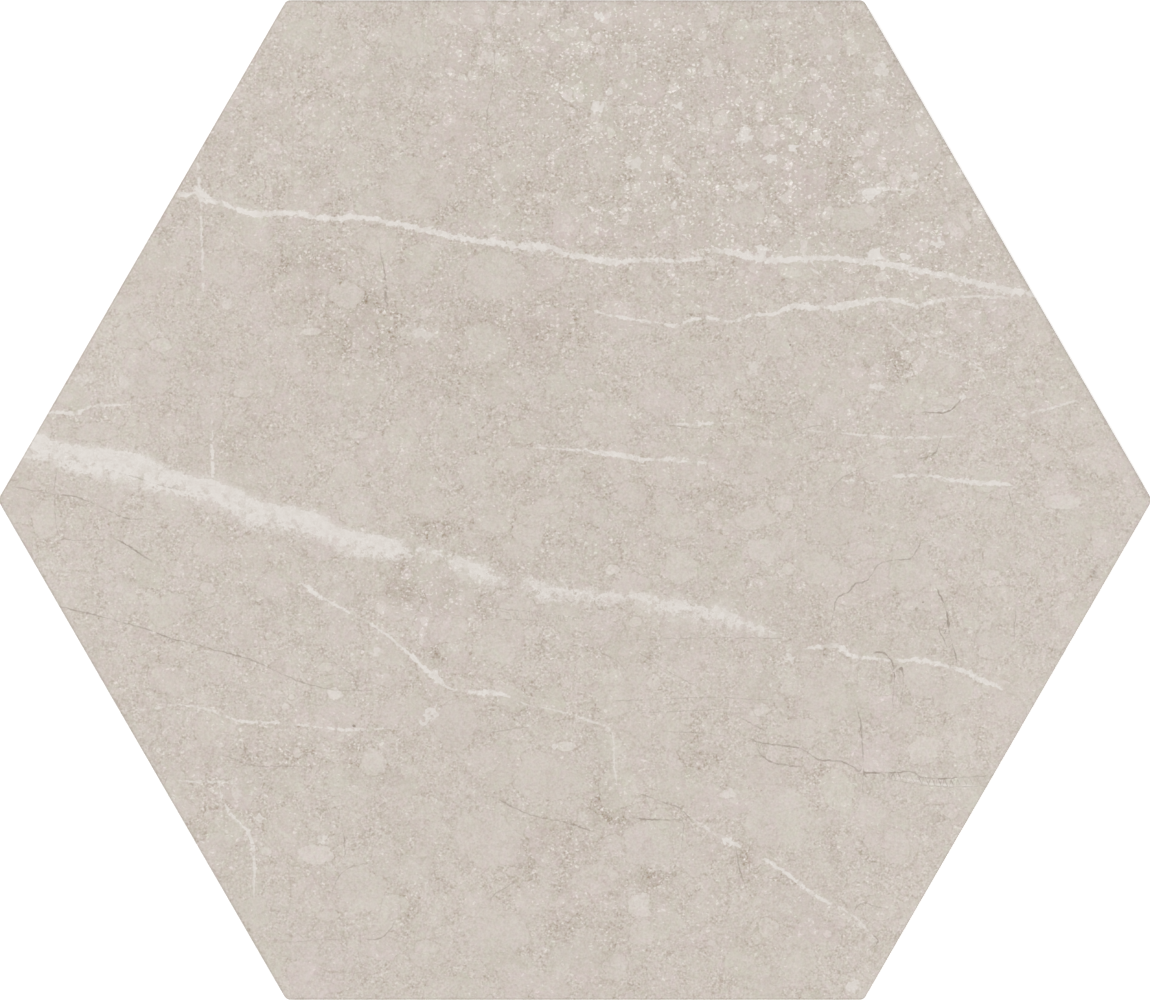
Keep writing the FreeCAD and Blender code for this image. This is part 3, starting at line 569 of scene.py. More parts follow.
class TileTree:
    """The Geometry Nodes tree that presses the tile."""

    INPUTS = {
        "Across Flats": "across_flats",
        "Thickness": "thickness",
        "Corner Radius": "corner_radius",
        "Arris Radius": "arris_radius",
        "Skirt Height": "skirt_height",
        "Skirt Inset": "skirt_inset",
        "Cell Pitch": "cell_pitch",
        "Rib Width": "rib_width",
        "Cell Depth": "cell_depth",
        "Cell Corner Radius": "cell_corner_radius",
        "Cell Draft": "cell_draft",
        "Cell Rings": "cell_rings",
        "Face Relief": "face_relief",
    }
    DRAWINGS = ("Broad Vein", "Veins", "Cracks", "Spots", "Clasts", "Shaded Zones", "Dusty Zones")
    CORNER_POINTS = 9
    ARRIS_POINTS = 9
    SIDE_STEP = 2.2 * MM
    FACE_LEVEL = 7
    FACE_MARGIN = 1.3 * MM
    RELIEF_SEED = 4.0
    LINE_STEP = 0.3 * MM

    def __init__(self):
        self.tree = bpy.data.node_groups.new("Pressed hexagon tile", "GeometryNodeTree")
        self.sums = Sums(self.tree)
        interface = self.tree.interface
        self.sockets = {}
        for name in self.INPUTS:
            kind = "NodeSocketInt" if name == "Cell Rings" else "NodeSocketFloat"
            self.sockets[name] = interface.new_socket(name=name, in_out="INPUT", socket_type=kind)
        for name in self.DRAWINGS:
            self.sockets[name] = interface.new_socket(name=name, in_out="INPUT", socket_type="NodeSocketObject")
        for name in ("Glazed Face", "Porcelain Body"):
            self.sockets[name] = interface.new_socket(
                name=name, in_out="INPUT", socket_type="NodeSocketMaterial"
            )
        interface.new_socket(name="Geometry", in_out="OUTPUT", socket_type="NodeSocketGeometry")
        self.given = self.tree.nodes.new("NodeGroupInput").outputs

    def node(self, kind, inputs=None, **settings):
        return place(self.tree, kind, inputs, **settings)

    def join(self, *parts):
        joined = self.node("GeometryNodeJoinGeometry")
        for part in parts:
            self.tree.links.new(part, joined.inputs[0])
        return joined.outputs[0]

    def outline(self, across, radius, turn=0.0):
        """A closed curve: a hexagon with rounded corners, of which two point along X before its turn."""
        point_radius = self.sums.div(across, 2 * math.cos(HALF_SECTOR))
        circle = self.node(
            "GeometryNodeCurvePrimitiveCircle", {"Resolution": SIDES, "Radius": point_radius}, mode="RADIUS"
        )
        curve = circle.outputs["Curve"]
        if radius is not None:
            fillet = self.node(
                "GeometryNodeFilletCurve",
                {"Curve": curve, "Count": self.CORNER_POINTS, "Radius": radius},
                mode="POLY",
            )
            curve = fillet.outputs["Curve"]
        if turn:
            curve = self.node("GeometryNodeTransform", {"Geometry": curve, "Rotation": (0, 0, turn)}).outputs[0]
        return curve

    def profile(self, points, rounding=None):
        """An open curve through points, each an inset and a height, with one of them rounded.

        rounding is the number of that point, its radius and how many points its arc has. A sweep
        sends a profile's own X outwards and its Y down, so both are turned round.
        """
        line = self.node("GeometryNodeMeshLine", {"Count": len(points)}, mode="OFFSET")
        switch = self.node("GeometryNodeIndexSwitch", data_type="VECTOR")
        while len(switch.index_switch_items) < len(points):
            switch.index_switch_items.new()
        self.tree.links.new(self.node("GeometryNodeInputIndex").outputs[0], switch.inputs[0])
        for number, (inset, height) in enumerate(points):
            point = self.sums.combine(self.sums.mul(inset, -1.0), self.sums.mul(height, -1.0))
            self.tree.links.new(point, switch.inputs[number + 1])
        moved = self.node("GeometryNodeSetPosition", {"Geometry": line.outputs[0], "Position": switch.outputs[0]})
        curve = self.node("GeometryNodeMeshToCurve", {"Mesh": moved.outputs[0]}).outputs[0]
        if rounding:
            number, radius, count = rounding
            index = self.node("GeometryNodeInputIndex").outputs[0]
            here = self.node(
                "FunctionNodeCompare", {2: index, 3: number}, data_type="INT", operation="EQUAL"
            ).outputs[0]
            curve = self.node(
                "GeometryNodeFilletCurve",
                {"Curve": curve, "Count": count, "Radius": self.sums.mul(here, radius)},
                mode="POLY",
            ).outputs[0]
        return curve

    def sweep(self, outline, profile):
        """The surface that a profile leaves as it goes round a closed outline."""
        level = self.node("GeometryNodeSetCurveNormal", {"Curve": outline}, mode="Z_UP")
        return self.node("GeometryNodeCurveToMesh", {"Curve": level.outputs[0], "Profile Curve": profile}).outputs[0]

    def rim(self, mesh, height):
        """The open edges of a mesh that lie at a height, as closed curves."""
        faces = self.node("GeometryNodeInputMeshEdgeNeighbors").outputs[0]
        open_edge = self.node("FunctionNodeCompare", {2: faces, 3: 1}, data_type="INT", operation="EQUAL").outputs[0]
        z = self.sums.split(self.node("GeometryNodeInputPosition").outputs[0])[2]
        gap = self.sums.math("ABSOLUTE", self.sums.sub(z, height))
        level = self.sums.math("LESS_THAN", gap, TINY)
        both = self.node("FunctionNodeBooleanMath", {0: open_edge, 1: level}, operation="AND").outputs[0]
        return self.node("GeometryNodeMeshToCurve", {"Mesh": mesh, "Selection": both}).outputs[0]

    def infill(self, height, *curves):
        """A flat sheet at a height, between closed curves that lie inside one another."""
        filled = self.node("GeometryNodeFillCurve", {"Curve": self.join(*curves)}, mode="TRIANGLES")
        return self.raised(filled.outputs[0], height)

    def raised(self, mesh, height, selection=None):
        inputs = {"Geometry": mesh, "Offset": self.sums.combine(0, 0, height)}
        if selection is not None:
            inputs["Selection"] = selection
        return self.node("GeometryNodeSetPosition", inputs).outputs[0]

    def sides(self):
        """The flat margin of the face, the arris, the upright band and the drafted skirt."""
        s = self.sums
        g = self.given
        profile = self.profile(
            [
                (self.FACE_MARGIN, g["Thickness"]),
                (0.0, g["Thickness"]),
                (0.0, g["Skirt Height"]),
                (g["Skirt Inset"], 0.0),
            ],
            rounding=(1, g["Arris Radius"], self.ARRIS_POINTS),
        )
        return self.sweep(self.stepped(self.outline(g["Across Flats"], g["Corner Radius"])), profile)

    def stepped(self, outline):
        """An outline with its long straights cut into short steps."""
        here = self.node("GeometryNodeInputPosition").outputs[0]
        index = self.node("GeometryNodeInputIndex").outputs[0]
        following = self.node("GeometryNodeOffsetPointInCurve", {"Point Index": index, "Offset": 1}).outputs[1]
        there = self.node(
            "GeometryNodeFieldAtIndex", {"Index": following, "Value": here}, data_type="FLOAT_VECTOR", domain="POINT"
        ).outputs[0]
        length = self.vector("LENGTH", self.vector("SUBTRACT", there, here))
        cuts = self.sums.math("FLOOR", self.sums.div(length, self.SIDE_STEP))
        return self.node("GeometryNodeSubdivideCurve", {"Curve": outline, "Cuts": cuts}).outputs[0]

    def face(self):
        """The even lattice of the face, which lies inside its margin."""
        s = self.sums
        g = self.given
        inset = self.FACE_MARGIN + 0.4 * MM
        radius = s.div(s.sub(s.mul(g["Across Flats"], 0.5), inset), math.cos(HALF_SECTOR))
        fan = self.node(
            "GeometryNodeMeshCircle", {"Vertices": SIDES, "Radius": radius}, fill_type="TRIANGLE_FAN"
        )
        lattice = self.node("GeometryNodeSubdivideMesh", {"Mesh": fan.outputs[0], "Level": self.FACE_LEVEL})
        return self.raised(lattice.outputs[0], g["Thickness"])

    def cell(self):
        """One cell with half of each rib round it."""
        s = self.sums
        g = self.given
        mouth = self.outline(s.sub(g["Cell Pitch"], g["Rib Width"]), g["Cell Corner Radius"], HALF_SECTOR)
        limit = self.outline(g["Cell Pitch"], None, HALF_SECTOR)
        run = s.mul(g["Cell Depth"], s.math("TANGENT", g["Cell Draft"]))
        wall = self.sweep(mouth, self.profile([(0.0, 0.0), (run, g["Cell Depth"])]))
        rib = self.infill(0.0, limit, self.rim(wall, 0.0))
        floor = self.infill(g["Cell Depth"], self.rim(wall, g["Cell Depth"]))
        return self.join(wall, rib, floor)

    def honeycomb(self):
        """The cells of the back, at the places of a honeycomb with so many rings."""
        s = self.sums
        g = self.given
        side = s.add(s.mul(g["Cell Rings"], 2), 1)
        grid = self.node("GeometryNodeMeshGrid", {"Vertices X": side, "Vertices Y": side})
        index = self.node("GeometryNodeInputIndex").outputs[0]
        aslant = s.sub(s.math("FLOOR", s.div(index, side)), g["Cell Rings"])
        along = s.sub(s.math("MODULO", index, side), g["Cell Rings"])
        x = s.mul(s.add(along, s.mul(aslant, 0.5)), g["Cell Pitch"])
        y = s.mul(s.mul(aslant, math.cos(HALF_SECTOR)), g["Cell Pitch"])
        outside = s.math("GREATER_THAN", s.math("ABSOLUTE", s.add(along, aslant)), g["Cell Rings"])
        stored = self.node(
            "GeometryNodeStoreNamedAttribute",
            {"Geometry": grid.outputs[0], "Name": "outside", "Value": outside},
            data_type="FLOAT",
            domain="POINT",
        )
        placed = self.node(
            "GeometryNodeSetPosition", {"Geometry": stored.outputs[0], "Position": s.combine(x, y, 0)}
        )
        mark = self.node("GeometryNodeInputNamedAttribute", {"Name": "outside"}, data_type="FLOAT").outputs[0]
        kept = self.node(
            "GeometryNodeDeleteGeometry", {"Geometry": placed.outputs[0], "Selection": mark}, domain="POINT"
        )
        cells = self.node(
            "GeometryNodeInstanceOnPoints", {"Points": kept.outputs[0], "Instance": self.cell()}
        )
        whole = self.node("GeometryNodeRealizeInstances", {"Geometry": cells.outputs[0]})
        return self.welded(whole.outputs[0])

    def welded(self, mesh):
        return self.node("GeometryNodeMergeByDistance", {"Geometry": mesh, "Distance": 5 * TINY}).outputs[0]

    def relief(self, mesh):
        """Sinks the lattice a little here and there, and never lifts it above the face's plane."""
        s = self.sums
        position = self.node("GeometryNodeInputPosition").outputs[0]
        uneven = self.node(
            "ShaderNodeTexNoise",
            {"Vector": position, "W": self.RELIEF_SEED, "Scale": 45.0, "Detail": 4.0, "Roughness": 0.45},
            noise_dimensions="4D",
        )
        x, y, z = s.split(position)
        inset = self.FACE_MARGIN + 0.4 * MM
        reach = s.sub(s.mul(self.given["Across Flats"], 0.5), inset)
        edge = None
        for turn in (HALF_SECTOR, 3 * HALF_SECTOR, 5 * HALF_SECTOR):
            distance = s.math(
                "ABSOLUTE", s.add(s.mul(x, math.cos(turn)), s.mul(y, math.sin(turn)))
            )
            edge = distance if edge is None else s.most(edge, distance)
        inside = s.ramp(s.sub(reach, edge), 0.0, 8 * MM)
        depth = s.mul(s.mul(s.ramp(uneven.outputs[0], 0.3, 0.7), inside), self.given["Face Relief"])
        return self.raised(mesh, s.mul(depth, -1.0))

    def mark(self, mesh, name, value):
        """Writes a vector on each point of a mesh, under a name that the materials read."""
        inputs = {"Geometry": mesh, "Name": name, "Value": value}
        kinds = {"data_type": "FLOAT_VECTOR", "domain": "POINT"}
        return self.node("GeometryNodeStoreNamedAttribute", inputs, **kinds).outputs[0]

    def vector(self, operation, *values):
        """A Vector Math node's first output, or its value where the operation gives one number."""
        made = self.node("ShaderNodeVectorMath", dict(enumerate(values)), operation=operation)
        return made.outputs["Value" if operation in ("DOT_PRODUCT", "LENGTH") else "Vector"]

    def scaled(self, value, factor):
        return self.node("ShaderNodeVectorMath", {0: value, "Scale": factor}, operation="SCALE").outputs[0]

    def sampled(self, points, value, index, kind="FLOAT_VECTOR"):
        """What value is on one point of some others."""
        inputs = {"Geometry": points, "Value": value, "Index": index}
        return self.node("GeometryNodeSampleIndex", inputs, data_type=kind, domain="POINT").outputs[0]

    def named(self, name, kind="FLOAT_VECTOR"):
        return self.node("GeometryNodeInputNamedAttribute", {"Name": name}, data_type=kind).outputs[0]

    def flat_place(self):
        """Each point's own place as seen from above."""
        return self.vector("MULTIPLY", self.node("GeometryNodeInputPosition").outputs[0], (1, 1, 0))

    def drawn(self, name):
        return self.node(
            "GeometryNodeObjectInfo", {"Object": self.given[name]}, transform_space="ORIGINAL"
        ).outputs["Geometry"]

    def line_mark(self, mesh, drawing, name):
        """Writes how far each point is across the nearest line, how far off it, and that line's half width."""
        s = self.sums
        smooth = self.node(
            "GeometryNodeCurveSplineType", {"Curve": self.drawn(drawing)}, spline_type="CATMULL_ROM"
        )
        steps = self.node(
            "GeometryNodeCurveToPoints", {"Curve": smooth.outputs[0], "Length": self.LINE_STEP}, mode="LENGTH"
        )
        points = steps.outputs["Points"]
        here = self.flat_place()
        nearest = self.node(
            "GeometryNodeSampleNearest", {"Geometry": points, "Sample Position": here}, domain="POINT"
        ).outputs[0]
        middle = self.sampled(points, self.node("GeometryNodeInputPosition").outputs[0], nearest)
        heading = s.split(self.sampled(points, steps.outputs["Tangent"], nearest))
        half = self.sampled(points, self.node("GeometryNodeInputRadius").outputs[0], nearest, "FLOAT")
        away = self.vector("SUBTRACT", here, middle)
        across = self.vector("DOT_PRODUCT", away, s.combine(s.mul(heading[1], -1.0), heading[0]))
        reach = self.vector("LENGTH", away)
        return self.mark(mesh, name, self.scaled(s.combine(across, reach, half), 1 / MM))

    def away_from(self, points, index):
        """How far each point lies from one spot, in millimetres along that spot's own length and breadth."""
        middle = self.sampled(points, self.node("GeometryNodeInputPosition").outputs[0], index)
        turn = self.sampled(points, self.named("turn", "FLOAT"), index, "FLOAT")
        away = self.scaled(self.vector("SUBTRACT", self.flat_place(), middle), 1 / MM)
        turned = self.node(
            "ShaderNodeVectorRotate", {"Vector": away, "Angle": self.sums.mul(turn, -1.0)}, rotation_type="Z_AXIS"
        )
        return turned.outputs[0]

    def spot_marks(self, mesh, drawing, name):
        """Writes where each point lies from the nearest spot, and that spot's reach and strength."""
        s = self.sums
        points = self.drawn(drawing)
        nearest = self.node(
            "GeometryNodeSampleNearest", {"Geometry": points, "Sample Position": self.flat_place()}, domain="POINT"
        ).outputs[0]
        away = self.away_from(points, nearest)
        x, y, _ = s.split(away)
        length, breadth, _ = s.split(self.sampled(points, self.named("reach"), nearest))
        strength = self.sampled(points, self.named("strength", "FLOAT"), nearest, "FLOAT")
        placed = self.mark(mesh, name, s.combine(x, y, self.vector("LENGTH", away)))
        return self.mark(placed, name + "_kind", s.combine(length, breadth, strength))

    def zone_level(self, mesh, drawing, name):
        """Writes how strong the strongest of some soft, overlapping zones is on each point."""
        s = self.sums
        points = self.drawn(drawing)
        count = self.node("GeometryNodeAttributeDomainSize", {0: points}, component="MESH").outputs["Point Count"]
        start = self.node("GeometryNodeRepeatInput")
        end = self.node("GeometryNodeRepeatOutput")
        start.pair_with_output(end)
        self.tree.links.new(count, start.inputs["Iterations"])
        self.tree.links.new(mesh, start.inputs["Geometry"])
        index = start.outputs["Iteration"]
        reach = self.sampled(points, self.named("reach"), index)
        strength = self.sampled(points, self.named("strength", "FLOAT"), index, "FLOAT")
        share = self.vector("LENGTH", self.vector("DIVIDE", self.away_from(points, index), reach))
        level = s.mul(s.ramp(share, 0.3, 1.5, 1.0, 0.0), strength)
        stored = self.node(
            "GeometryNodeStoreNamedAttribute",
            {"Geometry": start.outputs["Geometry"], "Name": name, "Value": s.most(self.named(name, "FLOAT"), level)},
            data_type="FLOAT",
            domain="POINT",
        )
        self.tree.links.new(stored.outputs[0], end.inputs["Geometry"])
        return end.outputs["Geometry"]

    def swell(self, grain, seed, detail=2.0, output=0):
        """Slow noise over the face, whose features are about so many millimetres apart."""
        place_in_mm = self.scaled(self.flat_place(), 1 / MM)
        moved = self.vector("ADD", place_in_mm, (seed * 37.0, seed * 17.0, 0.0))
        inputs = {"Vector": moved, "Scale": 1 / grain, "Detail": detail, "Roughness": 0.5}
        return self.node("ShaderNodeTexNoise", inputs).outputs[output]

    def level(self, mesh, name, value):
        inputs = {"Geometry": mesh, "Name": name, "Value": value}
        kinds = {"data_type": "FLOAT", "domain": "POINT"}
        return self.node("GeometryNodeStoreNamedAttribute", inputs, **kinds).outputs[0]

    def marks(self, mesh):
        """Writes all the stone's marks, its slow changes and a painted light gradient, on the points of a mesh."""
        s = self.sums
        mesh = self.line_mark(mesh, "Broad Vein", "broad_vein")
        mesh = self.line_mark(mesh, "Veins", "veins")
        mesh = self.line_mark(mesh, "Cracks", "cracks")
        mesh = self.spot_marks(mesh, "Spots", "spots")
        mesh = self.spot_marks(mesh, "Clasts", "clasts")
        mesh = self.zone_level(mesh, "Shaded Zones", "shade")
        mesh = self.zone_level(mesh, "Dusty Zones", "dust")
        mesh = self.mark(mesh, "bend", self.vector("SUBTRACT", self.swell(11.0, 1.0, output=1), (0.5, 0.5, 0.5)))
        cloud = self.swell(15.0, 12.0, detail=3.0)
        mesh = self.level(mesh, "cloud", cloud)
        gathered = s.ramp(self.swell(9.0, 23.0), 0.34, 0.6, 0.4, 1.0)
        mesh = self.level(mesh, "dust", s.mul(self.named("dust", "FLOAT"), gathered))
        mesh = self.level(mesh, "shade", s.mul(self.named("shade", "FLOAT"), s.ramp(cloud, 0.34, 0.5, 0.6, 1.0)))
        slow = s.mul(s.sub(self.swell(60.0, 11.0, detail=1.0), 0.5), 6.0)
        # Painted light: the tone is made a little lighter towards +X and towards the left and right edges.
        x, _, _ = s.split(self.flat_place())
        painted_light_slope = s.add(s.mul(x, 5.0), s.mul(s.mul(x, x), 130.0))
        return self.level(mesh, "tone", s.add(s.add(slow, painted_light_slope), s.mul(s.sub(cloud, 0.5), 6.0)))

    def build(self):
        """Joins the parts into one closed skin, marks it and gives each face its material."""
        s = self.sums
        g = self.given
        sides = self.sides()
        face = self.face()
        back = self.honeycomb()
        face_ring = self.infill(g["Thickness"], self.rim(sides, g["Thickness"]), self.rim(face, g["Thickness"]))
        back_ring = self.infill(0.0, self.rim(sides, 0.0), self.rim(back, 0.0))
        skin = self.marks(self.welded(self.join(sides, self.relief(face), face_ring, back, back_ring)))
        body = self.node("GeometryNodeSetMaterial", {"Geometry": skin, "Material": g["Porcelain Body"]})
        height = s.split(self.node("GeometryNodeInputPosition").outputs[0])[2]
        on_glaze = s.math("GREATER_THAN", height, s.sub(g["Thickness"], g["Arris Radius"]))
        whole = self.node("GeometryNodeRealizeInstances", {"Geometry": body.outputs[0]})
        glazed = self.node(
            "GeometryNodeSetMaterial",
            {"Geometry": whole.outputs[0], "Selection": on_glaze, "Material": g["Glazed Face"]},
        )
        place(self.tree, "NodeGroupOutput", {0: glazed.outputs[0]})
        return self.tree


def plain_mesh(source, name):
    """The evaluated geometry of an object as a closed mesh of its own, with its faces outwards."""
    bpy.context.view_layer.update()
    graph = bpy.context.evaluated_depsgraph_get()
    mesh = bpy.data.meshes.new_from_object(source.evaluated_get(graph))
    mesh.name = name
    work = bmesh.new()
    work.from_mesh(mesh)
    bmesh.ops.remove_doubles(work, verts=work.verts, dist=5 * TINY)
    bmesh.ops.dissolve_degenerate(work, edges=work.edges, dist=TINY)
    open_edges = [edge for edge in work.edges if not edge.is_manifold]
    if open_edges:
        raise RuntimeError(f"the tile's skin has {len(open_edges)} open or shared edges")
    bmesh.ops.recalc_face_normals(work, faces=work.faces)
    work.to_mesh(mesh)
    work.free()
    return mesh


class TILE_OT_press(bpy.types.Operator):
    """Press, glaze and fire the tile"""

    bl_idname = "tile.press_hexagon"
    bl_label = "Press Tile"
    bl_options = {"REGISTER", "UNDO"}

    SHARP_ANGLE = math.radians(8.5)

    def execute(self, context):
        sizes = context.scene.tile_sizes
        builder = TileTree()
        tree = builder.build()
        blank = bpy.data.objects.new("tile_blank", bpy.data.meshes.new("tile_blank"))
        context.scene.collection.objects.link(blank)
        press = blank.modifiers.new("Press", "NODES")
        press.node_group = tree
        for name, prop in TileTree.INPUTS.items():
            press[builder.sockets[name].identifier] = getattr(sizes, prop)
        drawing = StoneDrawing(context)
        for name, drawn in drawing.objects.items():
            press[builder.sockets[name].identifier] = drawn
        press[builder.sockets["Glazed Face"].identifier] = glazed_face(context)
        press[builder.sockets["Porcelain Body"].identifier] = porcelain_body(context)
        mesh = plain_mesh(blank, "limestone_hexagon_tile")
        bpy.data.objects.remove(blank)
        drawing.remove()
        mesh.shade_smooth()
        mesh.set_sharp_from_angle(angle=self.SHARP_ANGLE)
        tile = bpy.data.objects.new("limestone_hexagon_tile", mesh)
        context.scene.collection.objects.link(tile)
        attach(tile, "root")
        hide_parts(NODE)
        return {"FINISHED"}


# Materials: what the print, the glaze and the body are made of

def colour(red, green, blue):
    """A colour from the values that a paint chart gives, 0 to 255, as the light it sends back."""
    light = [((v / 255 + 0.055) / 1.055) ** 2.4 for v in (red, green, blue)]
    return (*light, 1.0)


def chosen_colour(name, description, *values):
    return bpy.props.FloatVectorProperty(
        name=name, description=description, default=colour(*values), size=4, subtype="COLOR"
    )


class StoneColours(bpy.types.PropertyGroup):
    """The colours of the print, the glaze and the fired body."""

    ground: chosen_colour("Ground", "The limestone between its veins", 198.6, 189.2, 180.0)
    vein: chosen_colour("Vein", "The veins and the palest spots", 220, 214.6, 209)
    crack: chosen_colour("Crack", "The hairline cracks and the dark spots", 150, 138, 126)
    body: chosen_colour("Body", "The unglazed porcelain of the sides and the back", 196, 187, 175)
    wash: chosen_colour("Kiln wash", "The chalky wash on the ribs of the back", 226, 222, 214)


def new_group(name, inputs, outputs):
    """An empty shader node group, and what its inner ends are joined to."""
    tree = bpy.data.node_groups.new(name, "ShaderNodeTree")
    for socket, default in inputs.items():
        kind = "NodeSocketVector" if isinstance(default, tuple) else "NodeSocketFloat"
        tree.interface.new_socket(name=socket, in_out="INPUT", socket_type=kind).default_value = default
    for socket in outputs:
        tree.interface.new_socket(name=socket, in_out="OUTPUT", socket_type="NodeSocketFloat")
    given = tree.nodes.new("NodeGroupInput").outputs
    result = tree.nodes.new("NodeGroupOutput").inputs
    return tree, given, result


def line_group():
    """How much of a place a line covers, from its mark: the distance across it, off it and its half width."""
    defaults = {"Across": 0.0, "Off": 0.0, "Half Width": 1.0, "Softness": 0.2, "Edge": 0.0}
    tree, given, result = new_group("Stone line", defaults, ("Cover",))
    s = Sums(tree)
    near = s.ramp(s.sub(given["Off"], s.math("ABSOLUTE", given["Across"])), 0.7, 1.1, 1.0, 0.0)
    gap = s.sub(s.math("ABSOLUTE", s.add(given["Across"], given["Edge"])), given["Half Width"])
    cover = s.ramp(gap, s.mul(given["Softness"], -1.0), given["Softness"], 1.0, 0.0)
    there = s.ramp(given["Half Width"], 0.02, 0.08)
    tree.links.new(s.mul(s.mul(cover, there), near), result["Cover"])
    return tree


def grain_group():
    """Fine light and dark grain about nought, and its height, for the glaze and for the body alike."""
    defaults = {"At": (0, 0, 0), "Grain": 0.5, "Coarse": 0.5, "Threads": 0.5}
    tree, given, result = new_group("Fine grain", defaults, ("Tone", "Height"))
    s = Sums(tree)
    scale = s.div(1.0, given["Grain"])
    fine = place(tree, "ShaderNodeTexNoise", {"Vector": given["At"], "Scale": scale, "Detail": 0.0}).outputs["Fac"]
    inputs = {"Vector": given["At"], "Scale": s.mul(scale, 0.45), "Detail": 1.0, "Roughness": 0.6}
    coarse = s.sub(place(tree, "ShaderNodeTexNoise", inputs).outputs["Fac"], 0.5)
    thread = s.sub(s.ramp(s.math("ABSOLUTE", coarse), 0.0, 0.07, 1.0, 0.0), 0.4)
    tone = s.add(s.add(s.sub(fine, 0.5), s.mul(coarse, given["Coarse"])), s.mul(thread, given["Threads"]))
    tree.links.new(tone, result["Tone"])
    tree.links.new(fine, result["Height"])
    return tree


class Surface:
    """One material's node tree, with its place in millimetres on the tile."""

    def __init__(self, name):
        self.material = bpy.data.materials.new(name)
        self.material.use_nodes = True
        self.tree = self.material.node_tree
        self.tree.nodes.clear()
        self.sums = Sums(self.tree)
        self.at = self.scaled(self.tree.nodes.new("ShaderNodeTexCoord").outputs["Object"], 1 / MM)

    def node(self, kind, inputs=None, **settings):
        return place(self.tree, kind, inputs, **settings)

    def vector(self, operation, first, second):
        return self.node("ShaderNodeVectorMath", {0: first, 1: second}, operation=operation).outputs[0]

    def scaled(self, value, factor):
        return self.node("ShaderNodeVectorMath", {0: value, "Scale": factor}, operation="SCALE").outputs[0]

    def noise(self, grain, detail=2.0, roughness=0.5, at=None, seed=0.0, output="Fac", flat=False):
        """Even noise whose largest features are about so many millimetres apart."""
        at = self.at if at is None else at
        moved = self.vector("ADD", at, (seed * 37.0, seed * 17.0, 0.0))
        inputs = {"Vector": moved, "Scale": 1 / grain, "Detail": detail, "Roughness": roughness}
        kind = "2D" if flat else "3D"
        return self.node("ShaderNodeTexNoise", inputs, noise_dimensions=kind).outputs[output]

    def group(self, tree, inputs):
        used = self.tree.nodes.new("ShaderNodeGroup")
        used.node_tree = tree
        for key, value in inputs.items():
            feed(self.tree, used.inputs[key], value)
        return used.outputs

    def marked(self, name, output="Fac"):
        """What the tile's tree wrote on the mesh under a name."""
        return self.node("ShaderNodeAttribute", attribute_type="GEOMETRY", attribute_name=name).outputs[output]

    def mark(self, name):
        return self.sums.split(self.marked(name, "Vector"))


    def mixed(self, amount, first, second):
        mix = self.node("ShaderNodeMix", {0: amount}, data_type="RGBA")
        feed(self.tree, mix.inputs[6], first)
        feed(self.tree, mix.inputs[7], second)
        return mix.outputs[2]

    def finish(self, base, roughness, height, bump_distance, specular=0.5):
        bump = self.node("ShaderNodeBump", {"Strength": 1.0, "Distance": bump_distance, "Height": height})
        shader = self.node(
            "ShaderNodeBsdfPrincipled", {"Base Color": base, "Roughness": roughness, "Normal": bump.outputs[0]}
        )
        shader.inputs["Specular IOR Level"].default_value = specular
        self.node("ShaderNodeOutputMaterial", {"Surface": shader.outputs[0]})
        return self.material


